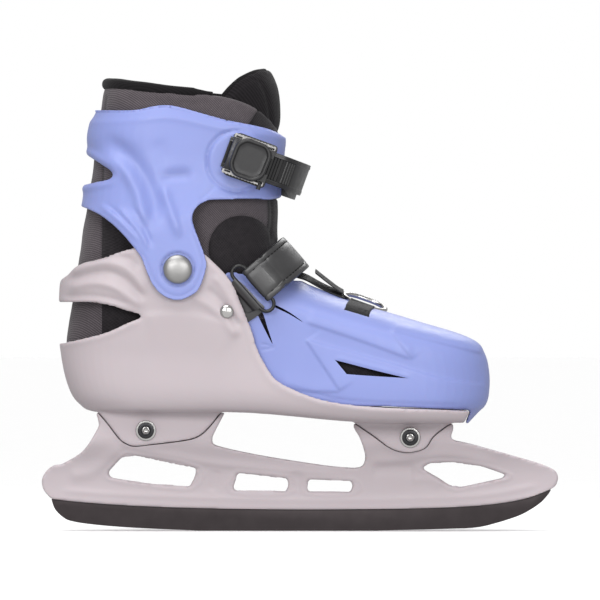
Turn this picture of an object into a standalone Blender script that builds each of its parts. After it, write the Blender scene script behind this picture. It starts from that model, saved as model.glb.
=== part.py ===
"""Adjustable junior ice skate, right foot, as an assembly of separate pieces.

Frame: metres, +X to the toe, +Z up, the outer side of the foot faces -Y.
The origin is on the blade's running edge, half way along the skate.
Outlines and section tables are in millimetres and are scaled by MM.
"""
import math

import bmesh
import bpy
from mathutils import Matrix, Vector

MM = 0.001
GAP = 0.3                    # clearance between touching pieces, mm

# Driving dimensions, mm
BLADE_THICKNESS = 3.0
SOLE_Z = 71.3                # underside of the shell at the heel
SOLE_DROP = 6.4              # how much lower the sole is under the toes
SHELL_WALL = 2.5
TOE_WALL = 2.2
TOE_INSET = 4.3              # outside of the toe shell, inside the outside of the base
FLOOR_Z = 74.6               # top of the shell's floor
PLATE_Z = FLOOR_Z + GAP      # underside of the sliding toe plate
PIVOT = (-73.0, 156.8)       # cuff pivot in the side view
BOLTS = {"rear": (-92.3, 60.2), "front": (66.0, 56.0)}
SLEEVE_FRONT = 68.0          # split between foot liner and leg liner: radii about the pivot
SLEEVE_BACK = 50.0
SIZE_TRAVEL = 20.0           # three sizes of 6.67 mm
LUG_IN, LUG_OUT = 11.0, 17.0
STRAP_TILT = math.radians(20.0)
STRAP_ORIGIN = (-30.0, 222.0)
STRAP_HINGE_Y = 49.9
STRAP_RADIUS = 97.5          # hinge axis to the inner face of the threaded strap
STRAP_HALF_WIDTH = 9.5
BACK_STEPS, MIDDLE_STEPS, FRONT_STEPS = 5, 3, 6         # points along half a boot section
RING_POINTS = 2 * (BACK_STEPS + MIDDLE_STEPS + FRONT_STEPS)
BACK_POWER = 2.3             # roundness of the section ends: 2 is an ellipse
LEG_FRONT_POWER = 2.5

# Half width of the shell by height above the sole: (height, at the heel, at the ball)
WIDTHS = [(0, 27, 37), (1.5, 31, 42), (4, 33.5, 45.5), (8, 35.5, 48), (14, 37, 49.5),
          (24, 38.2, 50), (34, 39.5, 50), (44, 41.5, 49.6), (60, 44.5, 49),
          (74, 46.5, 48.4), (88, 48, 48), (120, 48, 48)]


def lookup(table, key, column):
    """Straight-line interpolation in a short table sorted by its first column."""
    if key <= table[0][0]:
        return table[0][column]
    for low, high in zip(table, table[1:]):
        if key <= high[0]:
            share = (key - low[0]) / (high[0] - low[0])
            return low[column] + share * (high[column] - low[column])
    return table[-1][column]


def smooth(value):
    """Smooth step from 0 to 1."""
    value = min(1.0, max(0.0, value))
    return value * value * (3 - 2 * value)


def outline(points, steps=3):
    """Closed smooth line through points; a third item of 1 marks a sharp corner."""
    count = len(points)
    result = []
    for i in range(count):
        before, here = points[i - 1], points[i]
        after, beyond = points[(i + 1) % count], points[(i + 2) % count]
        straight = (after[0] - here[0], after[1] - here[1])

        def tangent(a, b, corner):
            if corner:
                return straight
            return ((b[0] - a[0]) / 2, (b[1] - a[1]) / 2)

        t0 = tangent(before, after, len(here) > 2)
        t1 = tangent(here, beyond, len(after) > 2)
        flat = len(here) > 2 and len(after) > 2
        for k in range(1 if flat else steps):
            t = k / steps
            h1, h2 = 2 * t**3 - 3 * t**2 + 1, t**3 - 2 * t**2 + t
            h3, h4 = -2 * t**3 + 3 * t**2, t**3 - t**2
            result.append(tuple(h1 * here[j] + h2 * t0[j] + h3 * after[j] + h4 * t1[j]
                                for j in range(2)))
    return result


# ---------------------------------------------------------------- objects

MATERIALS = {
    "shell_grey": ((0.70, 0.63, 0.65), 0.42, 0.0),
    "shell_blue": ((0.34, 0.40, 0.80), 0.40, 0.0),
    "blade_steel": ((0.10, 0.085, 0.085), 0.45, 0.6),
    "bright_steel": ((0.62, 0.62, 0.62), 0.28, 1.0),
    "dark_steel": ((0.06, 0.06, 0.065), 0.35, 0.8),
    "buckle_black": ((0.035, 0.035, 0.038), 0.42, 0.0),
    "strap_black": ((0.03, 0.03, 0.032), 0.35, 0.0),
    "liner_dark": ((0.05, 0.045, 0.05), 0.9, 0.0),
    "padding": ((0.08, 0.075, 0.08), 0.9, 0.0),
    "nylon": ((0.75, 0.75, 0.72), 0.5, 0.0),
}


def material(name):
    """The named finish, made on first use."""
    found = bpy.data.materials.get(name)
    if found:
        return found
    color, roughness, metallic = MATERIALS[name]
    found = bpy.data.materials.new(name)
    found.use_nodes = True
    shader = found.node_tree.nodes["Principled BSDF"]
    shader.inputs["Base Color"].default_value = (*color, 1.0)
    shader.inputs["Roughness"].default_value = roughness
    shader.inputs["Metallic"].default_value = metallic
    return found


def add_object(name, bm, finish=None):
    """Turn a bmesh given in millimetres into an object; no finish marks a cutter."""
    bmesh.ops.recalc_face_normals(bm, faces=bm.faces)
    bmesh.ops.scale(bm, vec=Vector((MM, MM, MM)), verts=bm.verts)
    mesh = bpy.data.meshes.new(name)
    bm.to_mesh(mesh)
    bm.free()
    obj = bpy.data.objects.new(name, mesh)
    bpy.context.scene.collection.objects.link(obj)
    if finish is None:
        obj.hide_render = True
        obj.display_type = "WIRE"
    else:
        mesh.materials.append(material(finish))
        mesh.shade_smooth()
        mesh.set_sharp_from_angle(angle=math.radians(35))
    return obj


def boolean(obj, tool, operation="DIFFERENCE"):
    """Add an exact Boolean with a cutter object."""
    modifier = obj.modifiers.new(tool.name, "BOOLEAN")
    modifier.operation = operation
    modifier.object = tool
    modifier.solver = "EXACT"


def set_pivot(obj, x, y, z):
    """Move the object's origin to its joint axis and keep its shape in place."""
    point = Vector((x, y, z)) * MM
    obj.data.transform(Matrix.Translation(-point))
    obj.location = point


def skin_rings(bm, rings):
    """Closed skin over rings of equal size; the ends are strips from one side to the other."""
    rows = [[bm.verts.new(point) for point in ring] for ring in rings]
    for low, high in zip(rows, rows[1:]):
        for i in range(len(low)):
            j = (i + 1) % len(low)
            bm.faces.new((low[i], low[j], high[j], high[i]))
    for row in (rows[0], rows[-1]):
        count = len(row)
        if count == RING_POINTS:
            for i in range(count // 2):
                corners = (row[i], row[i + 1], row[count - i - 1], row[(count - i) % count])
                bm.faces.new(list(dict.fromkeys(corners)))
        else:
            bm.faces.new(row)
    return bm


def loft(name, rings, finish=None):
    return add_object(name, skin_rings(bmesh.new(), rings), finish)


def prism(name, points, y0, y1, finish=None):
    """Side-view outline pushed across from y0 to y1."""
    rings = [[(x, y, z) for x, z in points] for y in (y0, y1)]
    return add_object(name, skin_rings(bmesh.new(), rings), finish)


def turned(name, profile, centre, axis, finish=None, sides=14):
    """Solid of revolution: profile of (radius, height) along the axis, from end to end."""
    turn = Vector((0, 0, 1)).rotation_difference(Vector(axis)).to_matrix()
    rings = []
    for radius, height in profile:
        rings.append([Vector(centre) + turn @ Vector((radius * math.cos(a), radius * math.sin(a), height))
                      for a in (2 * math.pi * k / sides for k in range(sides))])
    return add_object(name, skin_rings(bmesh.new(), rings), finish)


def ring_shape(name, radius, hole, centre, axis, length, finish, sides=14):
    """Plain ring from the centre along the axis."""
    turn = Vector((0, 0, 1)).rotation_difference(Vector(axis)).to_matrix()
    bm = bmesh.new()
    rows = []
    for r, height in ((radius, 0), (radius, length), (hole, length), (hole, 0)):
        rows.append([bm.verts.new(Vector(centre) + turn @ Vector((r * math.cos(a), r * math.sin(a), height)))
                     for a in (2 * math.pi * k / sides for k in range(sides))])
    for low, high in zip(rows, rows[1:] + rows[:1]):
        for i in range(sides):
            bm.faces.new((low[i], low[(i + 1) % sides], high[(i + 1) % sides], high[i]))
    return add_object(name, bm, finish)


def box(name, low, high, finish=None):
    return prism(name, [(low[0], low[2]), (high[0], low[2]), (high[0], high[2]), (low[0], high[2])],
                 low[1], high[1], finish)


# ---------------------------------------------------------------- boot sections

def plan_ring(z, back, front, width, back_round, front_round, front_power=2.3, dropped=False):
    """Level section of the boot; width is a function of x, and a dropped one follows the sole."""
    half = []
    for k in range(BACK_STEPS + 1):
        a = math.pi / 2 * k / BACK_STEPS
        half.append((back + back_round * (1 - math.cos(a) ** (2 / BACK_POWER)),
                     math.sin(a) ** (2 / BACK_POWER)))
    start, end = back + back_round, front - front_round
    for k in range(1, MIDDLE_STEPS):
        half.append((start + (end - start) * k / MIDDLE_STEPS, 1.0))
    for k in range(FRONT_STEPS + 1):
        a = math.pi / 2 * (1 - k / FRONT_STEPS)
        half.append((front - front_round * (1 - math.cos(a) ** (2 / front_power)),
                     math.sin(a) ** (2 / front_power)))
    points = []
    for side in (-1, 1):
        row = half if side < 0 else half[-2:0:-1]
        for x, share in row:
            lower = sole_drop(x, z) if dropped else 0.0
            points.append((x, side * share * width(x), z - lower))
    return points


def sole_drop(x, z):
    """How far the sole's shape hangs lower at x than at the heel; it fades out up the boot."""
    return SOLE_DROP * smooth((x + 45) / 95) * smooth((110 - z) / 30)


def shell_width(z, inset, dropped=False):
    """Half width of a boot layer as a function of x, inset from the outside of the shell."""
    def width(x):
        height = z - SOLE_Z + (0.0 if dropped else sole_drop(x, z))
        heel, ball = lookup(WIDTHS, height, 1), lookup(WIDTHS, height, 2)
        return heel + (ball - heel) * smooth((x + 100) / 150) - inset
    return width


def shell_rings(stations, inset, dropped=False, front_round=62.0, back_round=None):
    """Stations are (z at the heel, back, front)."""
    rings = []
    for z, back, front in stations:
        round_back = back_round or 40 + 10 * smooth((z - SOLE_Z) / 80)
        middle = front - back - round_back
        rings.append(plan_ring(z, back, front, shell_width(z, inset, dropped), round_back,
                               min(front_round, middle - 2), dropped=dropped))
    return rings


SHELL_BACK = [(71.3, -123), (72.8, -128.5), (75.3, -131.5), (79.3, -135.5), (85.3, -138.6),
              (95.3, -141.6), (105.3, -143.4), (115.3, -144.5), (131.3, -144.8), (145.3, -144.4),
              (157.3, -142.4), (175.0, -139)]
SHELL_FRONT = 113.0


def leg_ring(z, back, front, half_width):
    length = front - back
    return plan_ring(z, back, front, lambda x: half_width, min(50, 0.5 * length), min(40, 0.42 * length),
                     LEG_FRONT_POWER)


def leg_rings(stations, grow=0.0):
    """Stations are (z, back, front, half width); grow moves the whole section outwards."""
    return [leg_ring(z, back - grow, front + grow, half + grow) for z, back, front, half in stations]


# ---------------------------------------------------------------- blade and holder

def make_blade():
    edge = [(-145, 24.5, 1), (-149.1, 18.7, 1), (-147.0, 13.0), (-142.4, 8.3), (-137.2, 5.8),
            (-123.8, 3.7), (-100.2, 1.8), (-60.0, 0.0, 1), (45.0, 0.0, 1), (87.9, 1.1),
            (104.4, 1.8), (115.6, 4.0), (132.2, 9.4), (143.4, 16.1), (148.8, 21.7),
            (150.5, 24.5, 1), (146.0, 29.5, 1), (121.2, 23.6), (99.0, 21.5), (0.0, 19.7),
            (-100.0, 22.0)]
    half = BLADE_THICKNESS / 2
    return prism("blade", outline(edge), -half, half, "blade_steel")


HOLDER_LINE = [(-122.2, 71.0, 1), (-120.7, 65.0), (-121.5, 61.0), (-130.0, 48.1), (-142.4, 40.3),
               (-147.6, 39.3), (-152.2, 35.7), (-154.8, 30.5), (-153.7, 24.4), (-149.1, 19.1, 1),
               (-131.0, 17.1), (-100.0, 15.0), (-58.8, 13.5), (0.0, 12.7), (65.7, 13.3),
               (99.0, 14.5), (121.2, 16.6), (137.8, 20.0), (150.6, 25.0, 1), (153.4, 27.2),
               (154.8, 31.6), (153.4, 35.5), (148.9, 38.3), (137.8, 42.2), (104.5, 51.6),
               (92.3, 54.4), (90.6, 57.2), (91.8, 60.5), (91.8, 64.0, 1), (91.2, 64.2, 1),
               (32.4, 64.5, 1), (32.4, 61.6), (35.7, 56.0), (38.4, 48.4), (39.0, 42.7),
               (35.7, 38.1), (21.3, 38.5), (0.0, 41.4), (-27.7, 46.0), (-50.4, 51.2),
               (-52.5, 54.3), (-52.0, 57.4), (-45.2, 70.6, 1)]
HOLDER_PROFILE = [(12, 4.4), (24, 5.0), (34, 6.5), (42, 9.5), (48, 13.5), (52, 16.0), (56, 17.0), (72, 17.0)]
REAR_LUG = [(-122.2, 72.4, 1), (-115.5, 64.6), (-108.3, 55.3), (-104.2, 52.3), (-99.0, 50.7),
            (-89.7, 51.7), (-69.0, 54.3), (-60.7, 56.8), (-54.6, 62.0), (-47.3, 71.0, 1),
            (-47.3, 74.0, 1), (-122.2, 74.0, 1)]
FRONT_LUG = [(32.4, 64.8, 1), (43.5, 57.2), (54.6, 49.4), (64.6, 47.0), (74.6, 49.4),
             (80.1, 56.6), (87.9, 62.8, 1), (91.2, 64.6, 1), (91.2, 68.0, 1), (32.4, 68.0, 1)]
WINDOWS = [[(-113.5, 34.0), (-105.7, 44.0), (-97.9, 44.5), (-64.5, 38.6), (-67.0, 27.6), (-97.9, 29.5)],
           [(-36.6, 34.4), (-8.0, 32.0), (-7.4, 24.4), (-39.6, 25.2)],
           [(5.0, 30.2), (31.2, 29.5), (30.8, 23.6), (5.0, 23.6)],
           [(73.5, 37.2), (82.3, 40.7), (99.0, 40.0), (115.6, 37.7), (122.8, 33.8), (115.6, 30.5),
            (101.2, 27.2), (93.4, 27.4), (84.6, 31.6)]]


def grown(points, amount):
    """Move an outline outwards by a set amount; it runs clockwise or anticlockwise."""
    area = sum(a[0] * b[1] - b[0] * a[1] for a, b in zip(points, points[1:] + points[:1]))
    turn = 1 if area > 0 else -1
    result = []
    for i, here in enumerate(points):
        before, after = points[i - 1], points[(i + 1) % len(points)]
        direction = Vector((after[0] - before[0], after[1] - before[1])).normalized()
        result.append((here[0] + turn * direction.y * amount, here[1] - turn * direction.x * amount))
    return result


def make_holder():
    holder = prism("blade_holder", outline(HOLDER_LINE), -20, 20, "shell_grey")
    section = HOLDER_PROFILE + [(z, -y) for z, y in reversed(HOLDER_PROFILE)]
    rings = [[(x, y, z) for z, y in section] for x in (-160, 160)]
    boolean(holder, loft("holder_section", rings), "INTERSECT")
    for i, window in enumerate(WINDOWS):
        boolean(holder, prism(f"window_{i + 1}", outline(window), -25, 25))
    slot_line = [(-156, 10), (-156, 22.5), (-145, 25.0), (-100, 22.6), (0, 20.2), (99, 22.0), (121.2, 24.1),
                 (146.5, 30.2), (153, 23), (153, 10)]
    slot_half = BLADE_THICKNESS / 2 + GAP
    boolean(holder, prism("blade_slot", slot_line, -slot_half, slot_half))
    for name, lug in (("rear", REAR_LUG), ("front", FRONT_LUG)):
        line = grown(outline(lug), GAP)
        for side in (-1, 1):
            low, high = sorted((side * (LUG_IN - GAP), side * 22))
            boolean(holder, prism(f"{name}_lug_room_{side + 2}", line, low, high))
        x, z = BOLTS[name]
        boolean(holder, turned(f"{name}_bolt_room", [(3.4, -30), (3.4, 30)], (x, 0, z), (0, 1, 0)))
    sole_room = [(-125, 71.0), (-45, 71.0), (-12, 69.7), (2.4, 68.5), (32, 64.4), (92, 64.4), (92, 80),
                 (-125, 80)]
    boolean(holder, prism("sole_room", sole_room, -25, 25))
    return holder


def make_bolts():
    for name, (x, z) in BOLTS.items():
        face = -LUG_OUT
        ring_shape(f"washer_{name}", 6.1, 3.3, (x, face - GAP, z), (0, -1, 0), 1.0, "bright_steel")
        head = face - GAP - 1.0 - GAP
        bolt = turned(f"bolt_{name}", [(3.0, 30.2), (3.0, 0), (4.9, 0), (4.9, -1.6), (4.4, -2.2)],
                      (x, head, z), (0, 1, 0), "dark_steel")
        socket = turned(f"socket_{name}", [(2.4, -3), (2.4, -0.6)], (x, head, z), (0, 1, 0), sides=6)
        boolean(bolt, socket)
        ring_shape(f"nut_{name}", 5.0, 3.3, (x, LUG_OUT + GAP, z), (0, 1, 0), 4.0, "bright_steel", sides=6)


# ---------------------------------------------------------------- boot shells

BASE_LINE = [(-150, 148.0, 1), (-143.2, 150.7), (-133.0, 157.6), (-118.5, 163.5), (-105.6, 167.8),
             (-90, 171.5), (-73, 172.5), (-62, 169.5), (-51.0, 160.3), (-44.6, 153.8), (-39.2, 146.3),
             (-36.0, 137.8), (-29.6, 122.2), (-25.6, 109.8), (-19.8, 98.3), (-13.0, 89.8),
             (-2.6, 84.5), (8.9, 80.0), (26.1, 76.4), (49.1, 74.2), (72.0, 73.3), (101.8, 72.1, 1),
             (99.0, 66.4, 1), (97.3, 60, 1), (-150, 60, 1)]
HEEL_SLOT = [(-155, 136.9, 1), (-136.8, 136.9), (-126.0, 137.2), (-113.2, 135.1), (-102.4, 131.6),
             (-94.9, 128.6), (-104.6, 123.8), (-115.3, 119.0), (-131.4, 114.7), (-144.4, 112.3),
             (-155, 111.5, 1)]
BUTTON_X, BUTTON_Z = -34.0, 97.0


def make_base_shell():
    outer = [(z, back, SHELL_FRONT) for z, back in SHELL_BACK]
    base = loft("base_shell", shell_rings(outer, 0.0, dropped=True), "shell_grey")
    inside_front = SHELL_FRONT - SHELL_WALL
    inner = [(FLOOR_Z, -126.5, inside_front)]
    inner += [(z, back + SHELL_WALL, inside_front) for z, back in SHELL_BACK if z > FLOOR_Z + 1]
    inner.append((185.0, -136, inside_front))
    boolean(base, loft("base_inside", shell_rings(inner, SHELL_WALL)))
    boolean(base, prism("base_side_line", outline(BASE_LINE), -60, 60), "INTERSECT")
    boolean(base, prism("heel_slot", outline(HEEL_SLOT), -60, 60))
    for name, lug in (("rear", REAR_LUG), ("front", FRONT_LUG)):
        for side in (-1, 1):
            low, high = sorted((side * LUG_IN, side * LUG_OUT))
            boolean(base, prism(f"{name}_lug_{side + 2}", outline(lug), low, high), "UNION")
        x, z = BOLTS[name]
        boolean(base, turned(f"{name}_lug_hole", [(3.4, -30), (3.4, 30)], (x, 0, z), (0, 1, 0)))
    px, pz = PIVOT
    boolean(base, turned("pivot_hole", [(4.4, -60), (4.4, 60)], (px, 0, pz), (0, 1, 0)))
    rx, rz = RIVET
    boolean(base, turned("strap_rivet_hole", [(1.9, -60), (1.9, 60)], (rx, 0, rz), (0, 1, 0), sides=10))
    return base


RIVET = (-43.7, 131.5)
BUTTON_TRAVEL = 1.8
BUTTON_WALL = shell_width(BUTTON_Z, 0.0)(BUTTON_X)
BUTTON_REACH = 7.4
BUTTON_ROOM = BUTTON_WALL - BUTTON_REACH - BUTTON_TRAVEL - 0.6

TOE_FRONT = [(64, 100.5), (68, 104.2), (71.5, 107.5), (75, 111.2), (81, 113.3), (90, 113.9), (100, 112.9),
             (108, 110.2), (113, 106), (116.5, 99.5), (120, 89.8), (124, 76), (128, 63), (132, 50),
             (136, 36), (140, 24), (144, 14.5), (150, 1), (160, -8)]
TOE_INSIDE = [(PLATE_Z + TOE_WALL, 107.5), (82, 110.6), (90, 111.3), (98, 110.6), (105, 107.8), (110, 103),
              (113.5, 96), (117, 87), (121, 73.5), (125, 60.5), (129, 47.5), (133, 34), (137, 21.5),
              (141, 12), (147, 0), (165, -10.5)]
TOE_LINE = [(-43.9, 154.6), (-25, 152.2), (-0.3, 150.0), (30, 150, 1), (125, 150, 1), (125, 60, 1),
            (97.8, 60, 1), (99.8, 66.3, 1), (102.4, 72.4, 1), (50, PLATE_Z, 1), (-66, PLATE_Z, 1),
            (-66, 108, 1), (-50, 114, 1), (-46, 122), (-45, 140)]
TOE_VENT = [(20.4, 102.9), (24.0, 96.5), (29.5, 93.6), (65.1, 91.6), (42.0, 96.8)]
TOE_BACK = -100.0


def make_toe_shell():
    outer = [(z, TOE_BACK, front) for z, front in TOE_FRONT]
    toe = loft("toe_shell", shell_rings(outer, TOE_INSET, back_round=40), "shell_blue")
    inner = [(z, TOE_BACK + 5, front) for z, front in TOE_INSIDE]
    inside = TOE_INSET + TOE_WALL
    boolean(toe, loft("toe_inside", shell_rings(inner, inside, front_round=60, back_round=40)))
    boolean(toe, prism("toe_side_line", outline(TOE_LINE), -60, 60), "INTERSECT")
    for side in (-1, 1):
        low, high = sorted((side * 20, side * 60))
        boolean(toe, prism(f"toe_vent_{side + 2}", outline(TOE_VENT), low, high))
    slot = [(BUTTON_X - SIZE_TRAVEL - 4, BUTTON_Z - 3.6), (BUTTON_X + 4, BUTTON_Z - 3.6),
            (BUTTON_X + 4, BUTTON_Z + 3.6), (BUTTON_X - SIZE_TRAVEL - 4, BUTTON_Z + 3.6)]
    boolean(toe, prism("size_slot", slot, 20, 60))
    return toe


# ---------------------------------------------------------------- cuff

CUFF_LINE = [(-123.7, 252.4, 1), (-104.6, 251.8), (-96.0, 252.4), (-87.6, 254.3), (-78.8, 254.9),
             (-70.3, 253.3), (-59.6, 250.3), (-43.5, 246.0), (-27.4, 242.8), (-16.8, 240.1),
             (-9.7, 236.3), (-5.0, 232.0), (-5.0, 215.0), (-8.0, 203.0), (-15.6, 198.7), (-27.6, 198.7),
             (-48.8, 198.3), (-56.4, 197.2), (-61.8, 193.6), (-64.1, 188.2), (-63.3, 182.8),
             (-60.6, 175.3), (-57.4, 166.6), (-55.8, 158.5), (-59.6, 146.3), (-64.9, 141.0),
             (-72.4, 138.3), (-79.9, 139.9), (-86.4, 145.3), (-90.6, 152.8), (-94.9, 163.5),
             (-100.3, 171.0), (-107.8, 179.6), (-116.4, 187.0), (-123.8, 191.3), (-136, 196.5, 1),
             (-136, 206.5, 1), (-129.6, 207.2), (-120.6, 209.2), (-113.7, 210.7), (-111.7, 213.1),
             (-113.4, 216.7), (-118.8, 220.0), (-123.6, 222.8), (-128, 225.6), (-136, 228, 1),
             (-136, 252.4, 1)]
CUFF_STATIONS = [(130, -143, -10, 51.4), (160, -142, -10, 51.4), (186, -135, -10, 51.2),
                 (196, -131.0, -10.5, 49.0), (207, -129.6, -10.5, 46.2), (217, -128.2, -9.4, 44.9),
                 (227, -127.3, -8.2, 44.4), (235, -128.0, -7.6, 44.4), (243, -126.8, -7.6, 44.5),
                 (250, -124.2, -7.6, 44.7), (260, -123.4, -7.6, 45.0)]
CUFF_WALL = 2.5
BOSS = (-37.5, 221.5)
BOSS_RADIUS = 17.4
BOSS_FACE = 45.2
LEG_STATIONS = [(150, -135, -13, 39.4), (185, -129, -14, 39.6), (198, -127.2, -14, 40.6),
                (209, -125.3, -13.4, 41.0), (222, -123.6, -11.4, 41.2), (237, -121.4, -10.6, 41.2),
                (250, -120.0, -11.4, 41.7), (255.5, -120.2, -12.2, 41.9), (259, -120.4, -12.8, 43.3),
                (264, -119.0, -13.6, 43.4), (271, -114.5, -16.0, 41.5), (280, -110, -18.5, 39)]
LEG_LINE = [(-150, 150, 1), (-44.4, 150, 1), (-44.4, 263.2, 1), (-70.2, 266.3), (-91.8, 268.6),
            (-113.2, 271.7), (-150, 274, 1)]
TONGUE_LINE = [(-44.0, 150, 1), (-5, 150, 1), (-5, 262), (-12.5, 268), (-16.8, 275), (-21.0, 277.4),
               (-27.6, 275.5), (-34.9, 271.7), (-42.6, 265.3), (-44.0, 262, 1)]
COLLAR_WALL = 8.0
OPENING_HALF = 12.0


def make_cuff():
    cuff = loft("cuff", leg_rings(CUFF_STATIONS), "shell_blue")
    bx, bz = BOSS
    boolean(cuff, turned("boss", [(BOSS_RADIUS, -BOSS_FACE), (BOSS_RADIUS, BOSS_FACE)],
                         (bx, 0, bz), (0, 1, 0), sides=28), "UNION")
    stations = [(120, *CUFF_STATIONS[0][1:])] + CUFF_STATIONS[1:] + [(270, *CUFF_STATIONS[-1][1:])]
    boolean(cuff, loft("cuff_inside", leg_rings(stations, -CUFF_WALL)))
    boolean(cuff, prism("cuff_side_line", outline(CUFF_LINE), -60, 60), "INTERSECT")
    boolean(cuff, box("cuff_opening", (-24, -OPENING_HALF, 190), (5, OPENING_HALF, 262)))
    px, pz = PIVOT
    boolean(cuff, turned("cuff_pivot_hole", [(4.4, -60), (4.4, 60)], (px, 0, pz), (0, 1, 0)))
    set_pivot(cuff, px, 0, pz)
    return cuff


# ---------------------------------------------------------------- liner

LINER_INSET = 8.5            # at the ankle
LINER_INSET_LOW = 9.6        # beside the foot, where the toe shell slides past
LINER_BACK = [(77.5, -127.5), (82, -131.5), (90, -135.5), (100, -138.6), (112, -140.2),
              (124, -138.8), (136, -136.7), (150, -134.6), (163, -132.6), (178, -130.3),
              (193, -127.8), (209, -125.3), (232, -123)]
LINER_FRONT = [(77.5, 84), (82, 88), (90, 90), (98, 89), (106, 86), (112, 80), (117, 70), (121, 60),
               (126, 43), (131, 28), (136, 17), (141, 5), (146, -3), (150, -6), (158, -5),
               (166, -8.0), (174, -14.5), (186, -14.0), (232, -13.0)]
LINER_LEVELS = [82, 90, 100, 108, 114, 119, 124, 130, 136, 142, 150, 158, 166, 174, 188, 209, 232]


def liner_inset(z):
    return LINER_INSET_LOW + (LINER_INSET - LINER_INSET_LOW) * smooth((z - 105) / 30)


def liner_rings(thin, thick, floor, front_inset):
    """Sections of the foot liner, moved inwards by thin beside the foot and thick at the ankle."""
    rings = []
    for level in [floor] + [z for z in LINER_LEVELS if z > floor]:
        inset = thin + (thick - thin) * smooth((level - 110) / 30)
        back, front = lookup(LINER_BACK, level, 1) + inset, lookup(LINER_FRONT, level, 1) - front_inset
        tall = smooth((level - 150) / 40)
        width = lookup([(77, 0), (150, 0), (185, 1)], level, 1)
        base = shell_width(level, liner_inset(level) + inset)
        round_front = min(60, front - back - 60)
        rings.append(plan_ring(level, back, front,
                               lambda x, w=width, b=base: (1 - w) * b(x) + w * (39.6 - inset),
                               48, round_front * (1 - tall) + 40 * tall))
    return rings


FOOT_STEP_ANGLE, LEG_STEP_ANGLE = 86.0, 100.0      # degrees; the room between them lets the leg lean


def arc(radius, first, last, steps):
    """Arc about the ankle pivot in the side view, from one angle to another in degrees."""
    angles = [math.radians(first + (last - first) * k / steps) for k in range(steps + 1)]
    return [(PIVOT[0] + radius * math.cos(a), PIVOT[1] + radius * math.sin(a)) for a in angles]


def make_liner():
    foot = loft("liner_foot", liner_rings(0.0, 0.0, 77.5, 0.0), "liner_dark")
    inside = liner_rings(2.6, 4.0, 80.5, 6.0)
    last = [(x, y, z + 20) for x, y, z in inside[-1]]
    boolean(foot, loft("liner_foot_inside", inside + [last]))
    px, pz = PIVOT
    top = arc(SLEEVE_FRONT, 0, FOOT_STEP_ANGLE, 9) + arc(SLEEVE_BACK, FOOT_STEP_ANGLE, 177, 8)
    line = [(120, 60), (120, pz - 6)] + top + [(-150, pz + 3), (-150, 60)]
    boolean(foot, prism("foot_side_line", line, -60, 60), "INTERSECT")
    for side, name in ((-1, "outer"), (1, "inner")):
        boolean(foot, turned(f"washer_room_{name}", [(11.5, side * 37.2), (11.5, side * 60)],
                             (px, 0, pz), (0, 1, 0)))
    boolean(foot, turned("button_room", [(6.0, BUTTON_ROOM), (6.0, 60.0)], (BUTTON_X, 0, BUTTON_Z),
                         (0, 1, 0)))
    rx, rz = RIVET
    boolean(foot, turned("rivet_room", [(4.0, 36), (4.0, 60)], (rx, 0, rz), (0, 1, 0), sides=12))
    boolean(foot, turned("rivet_room_outer", [(4.0, -60), (4.0, -36)], (rx, 0, rz), (0, 1, 0), sides=12))

    inner = [(140, *LEG_STATIONS[0][1:])] + LEG_STATIONS[1:] + [(290, *LEG_STATIONS[-1][1:])]
    for name, line in (("liner_leg", LEG_LINE), ("tongue", TONGUE_LINE)):
        leg = loft(name, leg_rings(LEG_STATIONS), "liner_dark" if name == "liner_leg" else "padding")
        boolean(leg, loft(f"{name}_inside", leg_rings(inner, -COLLAR_WALL if name == "liner_leg" else -6.0)))
        boolean(leg, prism(f"{name}_side_line", outline(line), -60, 60), "INTERSECT")
        below = arc(SLEEVE_FRONT + 0.5, 0, LEG_STEP_ANGLE, 9) + arc(SLEEVE_BACK + 0.5, LEG_STEP_ANGLE, 166, 6)
        below = [(20, 120), (20, pz + 10)] + below + [(-160, pz + 21.7), (-160, 120)]
        boolean(leg, prism(f"{name}_below", below, -60, 60))
        set_pivot(leg, px, 0, pz)


def make_insole():
    rings = []
    for level in (80.9, 84.4):
        back, front = lookup(LINER_BACK, level, 1) + 3.4, lookup(LINER_FRONT, level, 1) - 6.8
        rings.append(plan_ring(level, back, front, shell_width(level, LINER_INSET_LOW + 3.2), 48, 58))
    loft("insole", rings, "padding")
    rings = []
    for level in (PLATE_Z, 77.1):
        rings.append(plan_ring(level, -122, -68, shell_width(level, LINER_INSET), 30, 12))
    loft("heel_pad", rings, "padding")


# ---------------------------------------------------------------- ankle joint

def make_ankle(side, name):
    """Dome rivet outside, bush in the walls and washer inside, on one side of the boot."""
    px, pz = PIVOT
    out = (0, side, 0)
    cuff_face = CUFF_STATIONS[0][3]
    wall = 47.9 - SHELL_WALL
    head = cuff_face + GAP
    shank_end = wall - 2.6
    turned(f"ankle_rivet_{name}",
           [(2.5, shank_end), (2.5, head), (8.7, head), (8.4, head + 1.0), (7.0, head + 2.1),
            (4.4, head + 2.9), (0.8, head + 3.2)], (px, 0, pz), out, "bright_steel")
    ring_shape(f"ankle_bush_{name}", 4.1, 2.8, (px, side * (wall + 0.2), pz), out, cuff_face - wall - 0.2,
               "nylon")
    ring_shape(f"ankle_washer_{name}", 8.5, 2.8, (px, side * (shank_end + 0.1), pz), out, 1.3, "bright_steel")


def make_strap_rivet(side, name):
    rx, rz = RIVET
    wall = shell_width(rz, 0.0)(rx)
    head = wall + 2 * GAP
    turned(f"strap_rivet_{name}",
           [(1.5, wall - SHELL_WALL - 1.0), (1.5, head), (4.2, head), (3.9, head + 0.8), (2.6, head + 1.5),
            (0.5, head + 1.8)], (rx, 0, rz), (0, side, 0), "bright_steel", sides=16)


# ---------------------------------------------------------------- cuff buckle and ratchet strap

def strap_point(u, y, w):
    """Point in the tilted frame of the cuff strap: u forwards, w up across the strap."""
    c, s = math.cos(STRAP_TILT), math.sin(STRAP_TILT)
    return (STRAP_ORIGIN[0] + u * c + w * s, y, STRAP_ORIGIN[1] - u * s + w * c)


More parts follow.
